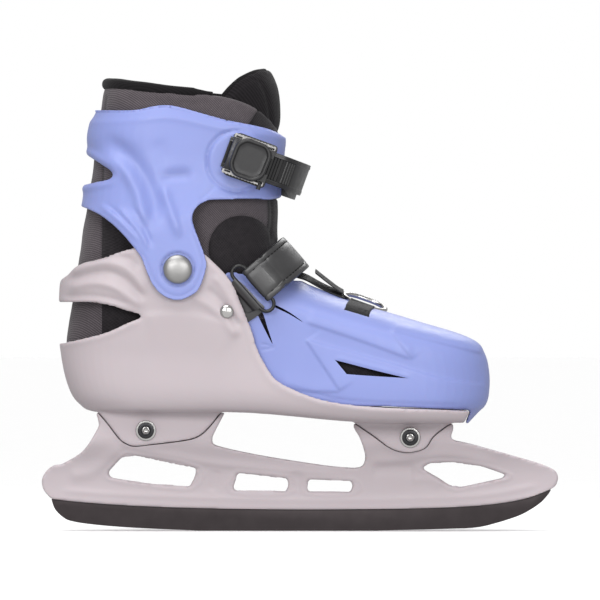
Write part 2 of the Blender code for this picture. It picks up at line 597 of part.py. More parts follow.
STRAP_AXIS = (math.sin(STRAP_TILT), 0.0, math.cos(STRAP_TILT))


def strap_prism(name, points, w0, w1, finish=None):
    """Outline of (u, y) in the strap's plane pushed across its width."""
    rings = [[strap_point(u, y, w) for u, y in points] for w in (w0, w1)]
    return loft(name, rings, finish)


def strap_turned(name, radius, u, y, w0, w1, finish=None, sides=14):
    return turned(name, [(radius, w0), (radius, w1)], strap_point(u, y, 0), STRAP_AXIS, finish, sides)


TAIL_U = -15.0
FRONT_U = 33.6
STRAP_THICKNESS = 2.0


def strap_path():
    """Centre line of the strap's inner face: arc about the hinge, then round the front of the leg."""
    points = []
    hinge = Vector((0.0, STRAP_HINGE_Y))
    for k in range(9):
        u = TAIL_U + (16.0 - TAIL_U) * k / 8
        points.append((u, hinge.y - math.sqrt(STRAP_RADIUS**2 - u * u)))
    end = points[-1]
    depth, half = FRONT_U - 16.0, -end[1]
    for k in range(1, 12):
        a = math.pi * k / 12
        across = -math.cos(a)
        points.append((16.0 + depth * math.sin(a) ** 0.85, across * half))
    points += [(16.0, half + 0.3), (9.0, half + 1.3), (2.2, STRAP_HINGE_Y - 1.0)]
    return points


def make_ratchet_strap():
    inner = strap_path()
    outer = []
    for i, here in enumerate(inner):
        before, after = inner[max(i - 1, 0)], inner[min(i + 1, len(inner) - 1)]
        direction = Vector((after[0] - before[0], after[1] - before[1])).normalized()
        outer.append((here[0] + direction.y * STRAP_THICKNESS, here[1] - direction.x * STRAP_THICKNESS))
    line = inner + outer[::-1]
    strap = strap_prism("ratchet_strap", line, -STRAP_HALF_WIDTH, STRAP_HALF_WIDTH, "strap_black")
    barrel_half = STRAP_HALF_WIDTH - 2
    boolean(strap, strap_turned("strap_barrel", 2.9, 0, STRAP_HINGE_Y, -barrel_half, barrel_half), "UNION")
    for side in (-1, 1):
        low, high = sorted((side * (STRAP_HALF_WIDTH - 2), side * 14))
        notch = [(-6, 40), (4.6, 40), (4.6, 58), (-6, 58)]
        boolean(strap, strap_prism(f"strap_notch_{side + 2}", notch, low, high))
    boolean(strap, strap_turned("strap_barrel_hole", 1.4, 0, STRAP_HINGE_Y, -15, 15))
    strap_turned("strap_hinge_pin", 1.1, 0, STRAP_HINGE_Y, -11.4, 11.4, "dark_steel")
    plate_top = BOSS_FACE + 1.2
    plate = [(-9, BOSS_FACE + GAP), (6, BOSS_FACE + GAP), (6, plate_top), (-9, plate_top)]
    bracket = strap_prism("strap_bracket", plate, -11.4, 11.4, "dark_steel")
    ear = [(-3.6, BOSS_FACE + 0.8), (3.6, BOSS_FACE + 0.8), (3.4, STRAP_HINGE_Y), (2.0, STRAP_HINGE_Y + 2.8),
           (-2.0, STRAP_HINGE_Y + 2.8), (-3.4, STRAP_HINGE_Y)]
    for side in (-1, 1):
        low, high = sorted((side * (STRAP_HALF_WIDTH - 1.6), side * 12.0))
        boolean(bracket, strap_prism(f"bracket_ear_{side + 2}", ear, low, high), "UNION")
    boolean(bracket, strap_turned("bracket_hole", 1.4, 0, STRAP_HINGE_Y, -15, 15))


LEVER_PIN = (10.5, -54.2)
LATCH_PIN = (-9.5, -53.2)
CHEEK_IN, CHEEK_OUT = 10.2, 11.4


def make_buckle():
    face = -BOSS_FACE - GAP
    base = strap_prism("buckle_base", [(-15, face), (14, face), (14, face - 0.7), (-15, face - 0.7)],
                       -CHEEK_OUT, CHEEK_OUT, "buckle_black")
    cheek = [(-14, face), (13, face), (12.6, -54.2), (10.5, -56.1), (8.0, -55.6), (2, -54.0), (-7, -54.5),
             (-11, -55.6), (-14, -54)]
    for side in (-1, 1):
        low, high = sorted((side * CHEEK_IN, side * (CHEEK_OUT + 0.3)))
        boolean(base, strap_prism(f"cheek_{side + 2}", cheek, low, high), "UNION")
    for name, (u, y) in (("lever", LEVER_PIN), ("latch", LATCH_PIN)):
        boolean(base, strap_turned(f"{name}_pin_hole", 1.3, u, y, -15, 15))
        strap_turned(f"{name}_pin", 1.0, u, y, -CHEEK_OUT, CHEEK_OUT, "bright_steel")
    u0, u1, cut = -14.5, 11.5, 5.5
    lever = strap_prism("buckle_lever", [(u0, -58.2), (u1 + 2, -58.2), (u1 + 3, -59.4), (u1 + 2, -61.0),
                                         (u0 + 2, -61.4), (u0, -60.4)], -12.2, 12.2, "buckle_black")
    corners = [(u0 - 1, -13), (u0 + cut, -13), (u0 - 1, -12.2 + cut)]
    for side in (-1, 1):
        rings = [[strap_point(u, y, side * w) for u, w in corners] for y in (-70, -50)]
        boolean(lever, loft(f"lever_corner_{side + 2}", rings))
        low, high = sorted((side * 5.0, side * (CHEEK_IN - GAP)))
        ear = [(7.5, -58.6), (13.2, -58.6), (13.2, -53.0), (11.5, -51.4), (9.0, -51.4), (7.5, -53.0)]
        boolean(lever, strap_prism(f"lever_ear_{side + 2}", ear, low, high), "UNION")
    boolean(lever, strap_turned("lever_hole", 1.3, *LEVER_PIN, -15, 15))
    pawl = [(-13.0, -54.8), (-8.5, -55.4), (-1.0, -52.6), (1.0, -50.2), (-0.6, -50.0), (-6.0, -51.2),
            (-12.0, -51.4), (-13.2, -53.2)]
    latch = strap_prism("buckle_latch", pawl, -CHEEK_IN + GAP, CHEEK_IN - GAP, "dark_steel")
    boolean(latch, strap_turned("latch_hole", 1.3, *LATCH_PIN, -15, 15))


# ---------------------------------------------------------------- instep and toe straps

INSTEP_START = (-24.8, 148.1)
INSTEP_RISE = (0.759, 0.651)
INSTEP_ACROSS = (0.660, -0.751)


def instep_rings(reach, height, thickness, first, last, half_width, steps=14):
    """Band over the instep between two angles, as rectangular sections."""
    rings = []
    for k in range(steps + 1):
        a = math.radians(first + (last - first) * k / steps)
        section = []
        for grow in (0.0, thickness):
            c, s = math.cos(a), math.sin(a)
            y = -(reach + grow) * math.copysign(abs(c) ** (2 / 2.4), c)
            e = (height + grow) * abs(s) ** (2 / 2.4)
            x, z = INSTEP_START[0] + e * INSTEP_RISE[0], INSTEP_START[1] + e * INSTEP_RISE[1]
            edge = [(x + w * INSTEP_ACROSS[0], y, z + w * INSTEP_ACROSS[1])
                    for w in (-half_width, half_width)]
            section += edge if grow == 0.0 else edge[::-1]
        rings.append(section)
    return rings


def oblong_ring(name, centre, along, across, length, width, bar, finish, steps=7):
    """Round bar bent into an oblong loop."""
    along, across = Vector(along).normalized(), Vector(across).normalized()
    normal = along.cross(across)
    path = []
    for end in (1, -1):
        for k in range(steps + 1):
            a = math.radians(180 * k / steps - 90 * end)
            out = along * math.cos(a) + across * math.sin(a)
            path.append((Vector(centre) + along * end * (length - width) / 2 + out * width / 2, out))
    bm = bmesh.new()
    sides = 8
    rows = [[bm.verts.new(point + (out * math.cos(b) + normal * math.sin(b)) * bar / 2)
             for b in (2 * math.pi * k / sides for k in range(sides))] for point, out in path]
    for low, high in zip(rows, rows[1:] + rows[:1]):
        for i in range(sides):
            j = (i + 1) % sides
            bm.faces.new((low[i], low[j], high[j], high[i]))
    return add_object(name, bm, finish)


INSTEP_RING = (-25.4, -47.6, 145.4)
STRAP_SHEET = 1.1            # thickness of the anchor straps


def make_instep():
    loft("instep_strap", instep_rings(46.0, 28.0, 2.0, 15, 176, 12.0, 22), "strap_black")
    loft("instep_flap", instep_rings(48.4, 30.4, 1.8, 16, 66, 11.8, 9), "strap_black")
    oblong_ring("instep_ring", INSTEP_RING, (25.8, 0, -13.7), (-13.7, 0.0, -25.8), 31.0, 9.0, 2.4,
                "strap_black")
    strap_line = [(-37.5, 150.5), (-42.5, 146.0), (-49.5, 137.0), (-50.0, 126.0), (-40.0, 122.5),
                  (-30.6, 125.5), (-21.5, 133.0), (-25.0, 138.0)]
    face = [(z, -144, SHELL_FRONT) for z in (100, 115, 131.3, 145.3, 157.3, 175)]
    under = [(z, -142, SHELL_FRONT - 1) for z in (90, 100, 115, 131.3, 145.3, 157.3, 175, 190)]
    for side, name in ((-1, "outer"), (1, "inner")):
        patch = loft(f"anchor_strap_{name}", shell_rings(face, SHELL_WALL + GAP), "strap_black")
        boolean(patch, loft(f"anchor_under_{name}", shell_rings(under, SHELL_WALL + GAP + STRAP_SHEET)))
        hole = turned(f"anchor_hole_{name}", [(1.9, -60), (1.9, 60)], (RIVET[0], 0, RIVET[1]), (0, 1, 0),
                      sides=10)
        boolean(patch, hole)
        low, high = sorted((side * 20, side * 60))
        boolean(patch, prism(f"anchor_line_{name}", outline(strap_line), low, high), "INTERSECT")


TOE_RING = (38.6, 0.0, 137.4)
TOE_SLOPE = (0.957, 0.0, -0.290)
TAB_ARCH = [(21.0, 134.8), (16.5, 136.9), (12.6, 138.9), (7.0, 139.6), (0.0, 139.8)]


def make_toe_trim():
    oblong_ring("toe_ring", TOE_RING, TOE_SLOPE, (0, 1, 0), 27.0, 20.0, 2.2, "bright_steel")
    arch = TAB_ARCH + [(-y, z) for y, z in TAB_ARCH[-2::-1]]
    rings = []
    for y, z in arch:
        section = []
        for u, lift in ((-6.5, 0), (6.5, 0), (6.5, 1.3), (-6.5, 1.3)):
            x = TOE_RING[0] + u * TOE_SLOPE[0]
            section.append((x, y * (1 + 0.03 * lift), z + u * TOE_SLOPE[2] + lift))
        rings.append(section)
    loft("toe_tab", rings, "strap_black")
    web = [(-2.0, 153.9), (6.0, 152.2), (14.0, 148.6), (23.2, 146.2), (23.8, 147.6), (14.6, 150.0),
           (6.6, 153.6), (-1.7, 155.3)]
    prism("toe_webbing", web, -8.5, 8.5, "strap_black")


# ---------------------------------------------------------------- size lock

def make_size_lock():
    wall = BUTTON_WALL
    out = wall + 3.0
    profile = [(2.6, wall - BUTTON_REACH), (2.6, out), (7.5, out), (7.5, out + 1.2), (6.4, out + 2.2)]
    turned("size_button", profile, (BUTTON_X, 0, BUTTON_Z), (0, 1, 0), "shell_blue")
    ring_shape("button_spring", 5.2, 4.0, (BUTTON_X, wall + 3 * GAP, BUTTON_Z), (0, 1, 0), BUTTON_TRAVEL,
               "bright_steel", sides=16)


def main():
    for obj in list(bpy.data.objects):
        bpy.data.objects.remove(obj)
    make_blade()
    make_holder()
    make_bolts()
    base = make_base_shell()
    boolean(base, turned("button_hole", [(3.0, 20), (3.0, 60)], (BUTTON_X, 0, BUTTON_Z), (0, 1, 0), sides=12))
    make_toe_shell()
    make_cuff()
    make_liner()
    make_insole()
    for side, name in ((-1, "outer"), (1, "inner")):
        make_ankle(side, name)
        make_strap_rivet(side, name)
    make_ratchet_strap()
    make_buckle()
    make_instep()
    make_toe_trim()
    make_size_lock()


main()
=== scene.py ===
"""Looks of an adjustable junior ice skate, right foot, built round its packed CAD model.

The row frame is the CAD's: +X to the toe, +Z up, the outer side of the foot faces -Y.
Outlines and section tables are in millimetres and are scaled by MM.
"""
import math

import bpy
import numpy as np
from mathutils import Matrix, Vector


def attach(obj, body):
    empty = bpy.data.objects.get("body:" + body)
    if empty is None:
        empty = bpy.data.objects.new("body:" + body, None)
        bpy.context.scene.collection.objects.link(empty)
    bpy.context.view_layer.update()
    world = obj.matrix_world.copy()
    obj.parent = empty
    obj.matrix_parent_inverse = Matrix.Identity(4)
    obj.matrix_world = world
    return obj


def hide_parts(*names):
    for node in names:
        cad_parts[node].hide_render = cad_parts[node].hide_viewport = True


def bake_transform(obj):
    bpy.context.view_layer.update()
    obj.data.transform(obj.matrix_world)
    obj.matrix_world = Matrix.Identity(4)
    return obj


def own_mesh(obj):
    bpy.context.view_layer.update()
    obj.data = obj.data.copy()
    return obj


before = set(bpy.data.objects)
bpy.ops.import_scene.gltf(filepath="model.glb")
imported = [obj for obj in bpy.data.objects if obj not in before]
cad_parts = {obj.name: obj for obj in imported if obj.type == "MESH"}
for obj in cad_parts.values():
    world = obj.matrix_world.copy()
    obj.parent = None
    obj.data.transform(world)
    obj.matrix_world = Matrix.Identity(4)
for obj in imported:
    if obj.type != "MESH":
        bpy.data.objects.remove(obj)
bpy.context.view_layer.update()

bl_info = {
    "name": "Adjustable Ice Skate",
    "version": (1, 0, 0),
    "blender": (4, 5, 0),
    "location": "3D View > Sidebar > Ice Skate",
    "description": "Models the mouldings, liner, straps and fittings of a size-adjustable ice skate",
    "category": "Object",
}

MM = 0.001

# Boot, mm
GAP = 0.3
SOLE_Z, SOLE_DROP = 71.3, 6.4
SHELL_WALL, TOE_WALL, CUFF_WALL = 2.5, 2.2, 2.5
TOE_INSET = 4.3
FLOOR_Z = 74.6
PLATE_Z = FLOOR_Z + GAP
PIVOT = (-73.0, 156.8)
BOLTS = {"rear": (-92.3, 60.2), "front": (66.0, 56.0)}
RIVET = (-43.7, 131.5)
BUTTON = (-34.0, 97.0)
LUG_IN, LUG_OUT = 11.0, 17.0
BOLT_BORE, PIVOT_BORE, RIVET_BORE, BUTTON_BORE = 3.5, 4.5, 2.0, 3.1      # radii
FAR = 60.0                                               # past the boot on either side
BOSS, BOSS_RADIUS, BOSS_FACE = (-37.5, 221.5), 17.4, 45.2
STRAP_TILT = math.radians(20.0)
STRAP_ORIGIN = (-30.0, 222.0)
STRAP_HINGE_Y, STRAP_RADIUS = 49.9, 97.5

BACK_STEPS, MIDDLE_STEPS, FRONT_STEPS = 12, 10, 14       # points along half a boot section
RING_POINTS = 2 * (BACK_STEPS + MIDDLE_STEPS + FRONT_STEPS)
ROUNDNESS = 2.3

WIDTHS = [(0, 27, 37), (1.5, 31, 42), (4, 33.5, 45.5), (8, 35.5, 48), (14, 37, 49.5),
          (24, 38.2, 50), (34, 39.5, 50), (44, 41.5, 49.6), (60, 44.5, 49),
          (74, 46.5, 48.4), (88, 48, 48), (120, 48, 48)]


# ---------------------------------------------------------------- lines and tables

def smooth(value):
    """Smooth step from 0 to 1."""
    value = np.clip(value, 0.0, 1.0)
    return value * value * (3 - 2 * value)


def reader(table, column=1):
    """Smooth, never overshooting line through one column of a table, as a function."""
    keys = np.array([row[0] for row in table], float)
    values = np.array([row[column] for row in table], float)
    rise = np.diff(values) / np.diff(keys)
    slopes = np.concatenate(([rise[0]], np.zeros(len(keys) - 2), [rise[-1]]))
    for i in range(1, len(keys) - 1):
        if rise[i - 1] * rise[i] > 0:
            slopes[i] = 2 * rise[i - 1] * rise[i] / (rise[i - 1] + rise[i])

    def read(key):
        key = np.clip(key, keys[0], keys[-1])
        i = np.clip(np.searchsorted(keys, key, side="right") - 1, 0, len(keys) - 2)
        gap = keys[i + 1] - keys[i]
        t = (key - keys[i]) / gap
        return ((2 * t**3 - 3 * t**2 + 1) * values[i] + (t**3 - 2 * t**2 + t) * gap * slopes[i]
                + (3 * t**2 - 2 * t**3) * values[i + 1] + (t**3 - t**2) * gap * slopes[i + 1])
    return read


heel_width, ball_width = reader(WIDTHS, 1), reader(WIDTHS, 2)


def outline(points, steps=8):
    """Closed smooth line through points; a third item of 1 marks a sharp corner."""
    count = len(points)
    result = []
    for i in range(count):
        before, here = points[i - 1], points[i]
        after, beyond = points[(i + 1) % count], points[(i + 2) % count]
        straight = (after[0] - here[0], after[1] - here[1])
        t0 = straight if len(here) > 2 else ((after[0] - before[0]) / 2, (after[1] - before[1]) / 2)
        t1 = straight if len(after) > 2 else ((beyond[0] - here[0]) / 2, (beyond[1] - here[1]) / 2)
        flat = len(here) > 2 and len(after) > 2
        for k in range(1 if flat else steps):
            t = k / steps
            h1, h2 = 2 * t**3 - 3 * t**2 + 1, t**3 - 2 * t**2 + t
            h3, h4 = -2 * t**3 + 3 * t**2, t**3 - t**2
            result.append(tuple(h1 * here[j] + h2 * t0[j] + h3 * after[j] + h4 * t1[j] for j in range(2)))
    return result


def spread(points, steps=8):
    """Open smooth line through points of any dimension."""
    points = np.array(points, float)
    tangents = np.gradient(points, axis=0)
    result = []
    for i in range(len(points) - 1):
        for t in np.arange(steps) / steps:
            result.append((2 * t**3 - 3 * t**2 + 1) * points[i] + (t**3 - 2 * t**2 + t) * tangents[i]
                          + (3 * t**2 - 2 * t**3) * points[i + 1] + (t**3 - t**2) * tangents[i + 1])
    return np.array(result + [points[-1]])


def rounded(points, radius, steps=5):
    """Straight-sided closed outline with its corners rounded off."""
    result = []
    for i, here in enumerate(points):
        here = Vector(here)
        arms = [Vector(points[i - 1]) - here, Vector(points[(i + 1) % len(points)]) - here]
        start, end = (here + arm.normalized() * min(radius, arm.length * 0.45) for arm in arms)
        for k in range(steps + 1):
            t = k / steps
            result.append(tuple(start * (1 - t) ** 2 + here * 2 * t * (1 - t) + end * t * t))
    return result


def grown(points, amount):
    """Move a closed outline outwards by a set amount, whichever way round it runs."""
    area = sum(a[0] * b[1] - b[0] * a[1] for a, b in zip(points, points[1:] + points[:1]))
    turn = 1 if area > 0 else -1
    result = []
    for i, here in enumerate(points):
        before, after = points[i - 1], points[(i + 1) % len(points)]
        direction = Vector((after[0] - before[0], after[1] - before[1])).normalized()
        result.append((here[0] + turn * direction.y * amount, here[1] - turn * direction.x * amount))
    return result


# ---------------------------------------------------------------- making and finishing meshes

def pick(*objects):
    """Select these objects alone; the last one is the active one."""
    bpy.ops.object.select_all(action="DESELECT")
    for obj in objects:
        obj.select_set(True)
        bpy.context.view_layer.objects.active = obj


def mesh_object(name, points, faces):
    """Object at the origin from points in millimetres."""
    mesh = bpy.data.meshes.new(name)
    mesh.from_pydata([tuple(float(c) * MM for c in p) for p in points], [], faces)
    mesh.update()
    obj = bpy.data.objects.new(name, mesh)
    bpy.context.scene.collection.objects.link(obj)
    pick(obj)
    return obj


def tidy_normals(obj):
    pick(obj)
    bpy.ops.object.mode_set(mode="EDIT")
    bpy.ops.mesh.select_all(action="SELECT")
    bpy.ops.mesh.remove_doubles(threshold=1e-6)
    bpy.ops.mesh.normals_make_consistent(inside=False)
    bpy.ops.object.mode_set(mode="OBJECT")


def modify(obj, kind, **settings):
    """Add a modifier with these settings and apply it."""
    modifier = obj.modifiers.new(kind.title(), kind)
    for key, value in settings.items():
        setattr(modifier, key, value)
    pick(obj)
    bpy.ops.object.modifier_apply(modifier=modifier.name)
    return obj


def cut(obj, tool, operation="DIFFERENCE", solver="EXACT"):
    modify(obj, "BOOLEAN", object=tool, operation=operation, solver=solver)
    bpy.data.objects.remove(tool)
    return obj


def soften(obj, width, angle=40, segments=2):
    """Bevel the edges that are sharper than an angle."""
    modify(obj, "BEVEL", width=width * MM, segments=segments, limit_method="ANGLE",
           angle_limit=math.radians(angle))


def join(name, objects):
    pick(*objects)
    if len(objects) > 1:
        bpy.ops.object.join()
    obj = bpy.context.view_layer.objects.active
    obj.name = obj.data.name = name
    return obj


def remesh(obj, voxel, rounds=6):
    """Even out the faces of a solid and soften its edges, as a moulding's are."""
    modify(obj, "REMESH", mode="VOXEL", voxel_size=voxel * MM, adaptivity=0.0)
    modify(obj, "SMOOTH", factor=0.5, iterations=rounds)
    return obj


def skin(name, rings):
    """Closed skin over rings of equal size; boot sections are capped in strips."""
    count = len(rings[0])
    points = [p for ring in rings for p in ring]
    faces = []
    for row in range(len(rings) - 1):
        low, high = row * count, (row + 1) * count
        for i in range(count):
            j = (i + 1) % count
            faces.append((low + i, low + j, high + j, high + i))
    for start in (0, (len(rings) - 1) * count):
        if count == RING_POINTS:
            for i in range(count // 2):
                corners = (start + i, start + i + 1, start + count - i - 1, start + (count - i) % count)
                faces.append(tuple(dict.fromkeys(corners)))
        else:
            faces.append(tuple(range(start, start + count)))
    obj = mesh_object(name, points, faces)
    tidy_normals(obj)
    return obj


def slab(name, points, y0, y1):
    """Side-view outline filled and extruded across the boot."""
    obj = mesh_object(name, [(x, y0, z) for x, z in points], [tuple(range(len(points)))])
    bpy.ops.object.mode_set(mode="EDIT")
    bpy.ops.mesh.select_all(action="SELECT")
    bpy.ops.mesh.extrude_region_move(TRANSFORM_OT_translate={"value": (0, (y1 - y0) * MM, 0)})
    bpy.ops.object.mode_set(mode="OBJECT")
    tidy_normals(obj)
    return obj


def turned(name, profile, centre, axis, sides=48):
    """Profile of (radius, height) spun about an axis through the centre."""
    turn = Vector((0, 0, 1)).rotation_difference(Vector(axis)).to_matrix()
    points = [Vector(centre) + turn @ Vector((r, 0, h)) for r, h in profile]
    mesh = bpy.data.meshes.new(name)
    mesh.from_pydata([p * MM for p in points], [(i, i + 1) for i in range(len(points) - 1)], [])
    obj = bpy.data.objects.new(name, mesh)
    bpy.context.scene.collection.objects.link(obj)
    pick(obj)
    bpy.ops.object.mode_set(mode="EDIT")
    bpy.ops.mesh.select_all(action="SELECT")
    bpy.ops.mesh.spin(steps=sides, angle=2 * math.pi, center=Vector(centre) * MM, axis=Vector(axis))
    bpy.ops.object.mode_set(mode="OBJECT")
    tidy_normals(obj)
    return obj


def drill(obj, radius, low, high, centre, axis=(0, 1, 0), sides=48):
    """Round hole about an axis through the centre, from low to high along it."""
    profile = [(0, low), (radius, low), (radius, high), (0, high)]
    cut(obj, turned("drill", profile, centre, axis, sides))


def in_middle(place):
    """Point of the side view, in the middle plane of the boot."""
    return (place[0], 0, place[1])


def swept(name, sections, closed=False):
    """Skin over sections that follow each other along a path and are already in place."""
    rings = [list(s) for s in sections]
    count = len(rings[0])
    points = [p for ring in rings for p in ring]
    faces = []
    rows = len(rings)
    for row in range(rows if closed else rows - 1):
        low, high = row * count, ((row + 1) % rows) * count
        for i in range(count):
            j = (i + 1) % count
            faces.append((low + i, low + j, high + j, high + i))
    if not closed:
        faces += [tuple(range(count)), tuple(range((rows - 1) * count, rows * count))]
    obj = mesh_object(name, points, faces)
    tidy_normals(obj)
    return obj


def tube(name, path, radius, sides=12, closed=False, up=None):
    """Round bar along a path."""
    path = np.array(path, float)
    count = len(path)
    sections = []
    guide = Vector(up) if up else Vector((0.13, 0.31, 0.94))
    for i in range(count):
        ahead = path[(i + 1) % count] if closed or i < count - 1 else path[i]
        behind = path[i - 1] if closed or i > 0 else path[i]
        direction = Vector(ahead - behind).normalized()
        side = direction.cross(guide).normalized()
        other = side.cross(direction).normalized()
        if not up:
            guide = other
        turns = [2 * math.pi * k / sides for k in range(sides)]
        sections.append([Vector(path[i]) + side * (radius * math.cos(a)) + other * (radius * math.sin(a))
                         for a in turns])
    return swept(name, sections, closed)


def shade(obj, angle=40):
    pick(obj)
    bpy.ops.object.shade_smooth_by_angle(angle=math.radians(angle))


def dress(obj, finish, body, stands_for=(), angle=40):
    """Give a finished piece its material, its body and the CAD nodes that it stands for."""
    shade(obj, angle)
    obj.data.materials.clear()
    obj.data.materials.append(finish)
    if body:
        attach(obj, body)
    if stands_for:
        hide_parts(*stands_for)
    return obj


# ---------------------------------------------------------------- sculpting on finished meshes

def places(obj):
    """Vertex places in millimetres and vertex normals."""
    count = len(obj.data.vertices)
    points, normals = np.zeros(count * 3), np.zeros(count * 3)
    obj.data.vertices.foreach_get("co", points)
    obj.data.vertices.foreach_get("normal", normals)
    return points.reshape(-1, 3) / MM, normals.reshape(-1, 3)


def move_points(obj, points):
    obj.data.vertices.foreach_set("co", (points * MM).ravel())
    obj.data.update()


def from_line(x, z, line, steps=6):
    """Distance to a line in the side view, the side of it (+1 left), and the share along it."""
    line = spread(line, steps)
    lengths = np.concatenate(([0], np.cumsum(np.hypot(*np.diff(line, axis=0).T))))
    best, side, along = np.full(len(x), 1e9), np.ones(len(x)), np.zeros(len(x))
    for i in range(len(line) - 1):
        a, d = line[i], line[i + 1] - line[i]
        t = np.clip(((x - a[0]) * d[0] + (z - a[1]) * d[1]) / (d @ d), 0, 1)
        dx, dz = x - a[0] - t * d[0], z - a[1] - t * d[1]
        distance = np.hypot(dx, dz)
        near = distance < best
        best[near], side[near] = distance[near], np.where(d[0] * dz - d[1] * dx >= 0, 1, -1)[near]
        along[near] = ((lengths[i] + t * np.hypot(*d)) / lengths[-1])[near]
    return best, side, along


def ridge(x, z, line, height, half_width, taper=0.15):
    """Rounded ridge, or a groove if height is negative."""
    distance, _, along = from_line(x, z, line)
    ends = smooth(along / taper) * smooth((1 - along) / taper) if taper else 1.0
    return height * np.exp(-(distance / half_width) ** 2) * ends


def ledge(x, z, line, height, soft, fade, taper=0.12):
    """Surface that stands up on the left of a line and fades out away from it."""
    distance, side, along = from_line(x, z, line)
    ends = smooth(along / taper) * smooth((1 - along) / taper) if taper else 1.0
    return height * (0.5 + 0.5 * np.tanh(side * distance / soft)) * np.exp(-(distance / fade) ** 2) * ends


def ridges(x, z, rows):
    """Sum of ridges given as (line, height, half width, taper)."""
    return sum(ridge(x, z, *row) for row in rows)


def ring_mark(x, z, centre, radius, width):
    """Share from 0 to 1 that peaks on a circle of the side view."""
    return np.exp(-((np.hypot(x - centre[0], z - centre[1]) - radius) / width) ** 2)


def mark_crease_shade(obj, values):
    """Store how deep in the creases each point lies, for the finishes to darken with painted shade."""
    mark = obj.data.attributes.new("crease_shade", "FLOAT", "POINT")
    mark.data.foreach_set("value", np.asarray(values, np.float32))


def relief(obj, shape, reach=(-95.0, 60.0), crease_shade=None):
    """Move the outer surface along its normals by shape(x, y, z) in millimetres."""
    points, normals = places(obj)
    x, y, z = points.T
    outward = (normals[:, 0] * (x - np.clip(x, *reach)) + normals[:, 1] * y) > 0
    outward &= np.hypot(normals[:, 0], normals[:, 1]) > 0.25
    height = shape(x, y, z) * outward
    move_points(obj, points + normals * height[:, None])
    # depth in the creases, kept for the finishes to darken as painted shade
    if crease_shade:
        mark_crease_shade(obj, np.clip(crease_shade(x, y, z) * outward, 0, 1))


# ---------------------------------------------------------------- boot sections

def sole_drop(x, z):
    return SOLE_DROP * smooth((x + 45) / 95) * smooth((110 - z) / 30)


def plan_ring(z, back, front, width, back_round, front_round, front_power=ROUNDNESS, dropped=False):
    """Level section of the boot; width is a function of x."""
    a = np.pi / 2 * np.arange(BACK_STEPS + 1) / BACK_STEPS
    back_x = back + back_round * (1 - np.cos(a) ** (2 / ROUNDNESS))
    back_y = np.sin(a) ** (2 / ROUNDNESS)
    middle = np.linspace(back + back_round, front - front_round, MIDDLE_STEPS + 1)[1:-1]
    a = np.pi / 2 * (1 - np.arange(FRONT_STEPS + 1) / FRONT_STEPS)
    front_x = front - front_round * (1 - np.abs(np.cos(a)) ** (2 / front_power))
    front_y = np.sin(a) ** (2 / front_power)
    x = np.concatenate((back_x, middle, front_x))
    share = np.concatenate((back_y, np.ones(len(middle)), front_y))
    half = share * width(x)
    x, half = np.concatenate((x, x[-2:0:-1])), np.concatenate((-half, half[-2:0:-1]))
    drop = sole_drop(x, z) if dropped else 0.0 * x
    return np.stack((x, half, z - drop), axis=1)


def shell_width(z, inset, dropped=False):
    def width(x):
        height = z - SOLE_Z + (0.0 if dropped else sole_drop(x, z))
        heel, ball = heel_width(height), ball_width(height)
        return heel + (ball - heel) * smooth((x + 100) / 150) - inset
    return width


def levels(low, high, gap, fine_to=None):
    """Heights from low to high, closer together up to fine_to."""
    if fine_to:
        first = low + (fine_to - low) * np.linspace(0, 1, 9) ** 1.5
        return np.concatenate((first, np.arange(fine_to + gap, high, gap), [high]))
    return np.concatenate((np.arange(low, high - gap / 2, gap), [high]))


def shell_loft(name, stations, inset, dropped=False, front_round=62.0, back_round=None, gap=2.2, fine=None):
    """Boot layer through stations of (z, back, front)."""
    back, front = reader(stations, 1), reader(stations, 2)
    rings = []
    for z in levels(stations[0][0], stations[-1][0], gap, fine):
        b, f = float(back(z)), float(front(z))
        round_back = back_round or 40 + 10 * smooth((z - SOLE_Z) / 80)
        rings.append(plan_ring(z, b, f, shell_width(z, inset, dropped), round_back,
                               min(front_round, f - b - round_back - 2), dropped=dropped))
    return skin(name, rings)


def leg_ring(z, back, front, half):
    length = front - back
    return plan_ring(z, back, front, lambda x: half + 0 * x, min(50, 0.5 * length),
                     min(40, 0.42 * length), 2.5)


def leg_loft(name, stations, grow=0.0, gap=2.5):
    """Leg layer through stations of (z, back, front, half width), moved outwards by grow."""
    back, front, half = (reader(stations, c) for c in (1, 2, 3))
    rings = [leg_ring(z, float(back(z)) - grow, float(front(z)) + grow, float(half(z)) + grow)
             for z in levels(stations[0][0], stations[-1][0], gap)]
    return skin(name, rings)


# ---------------------------------------------------------------- finishes

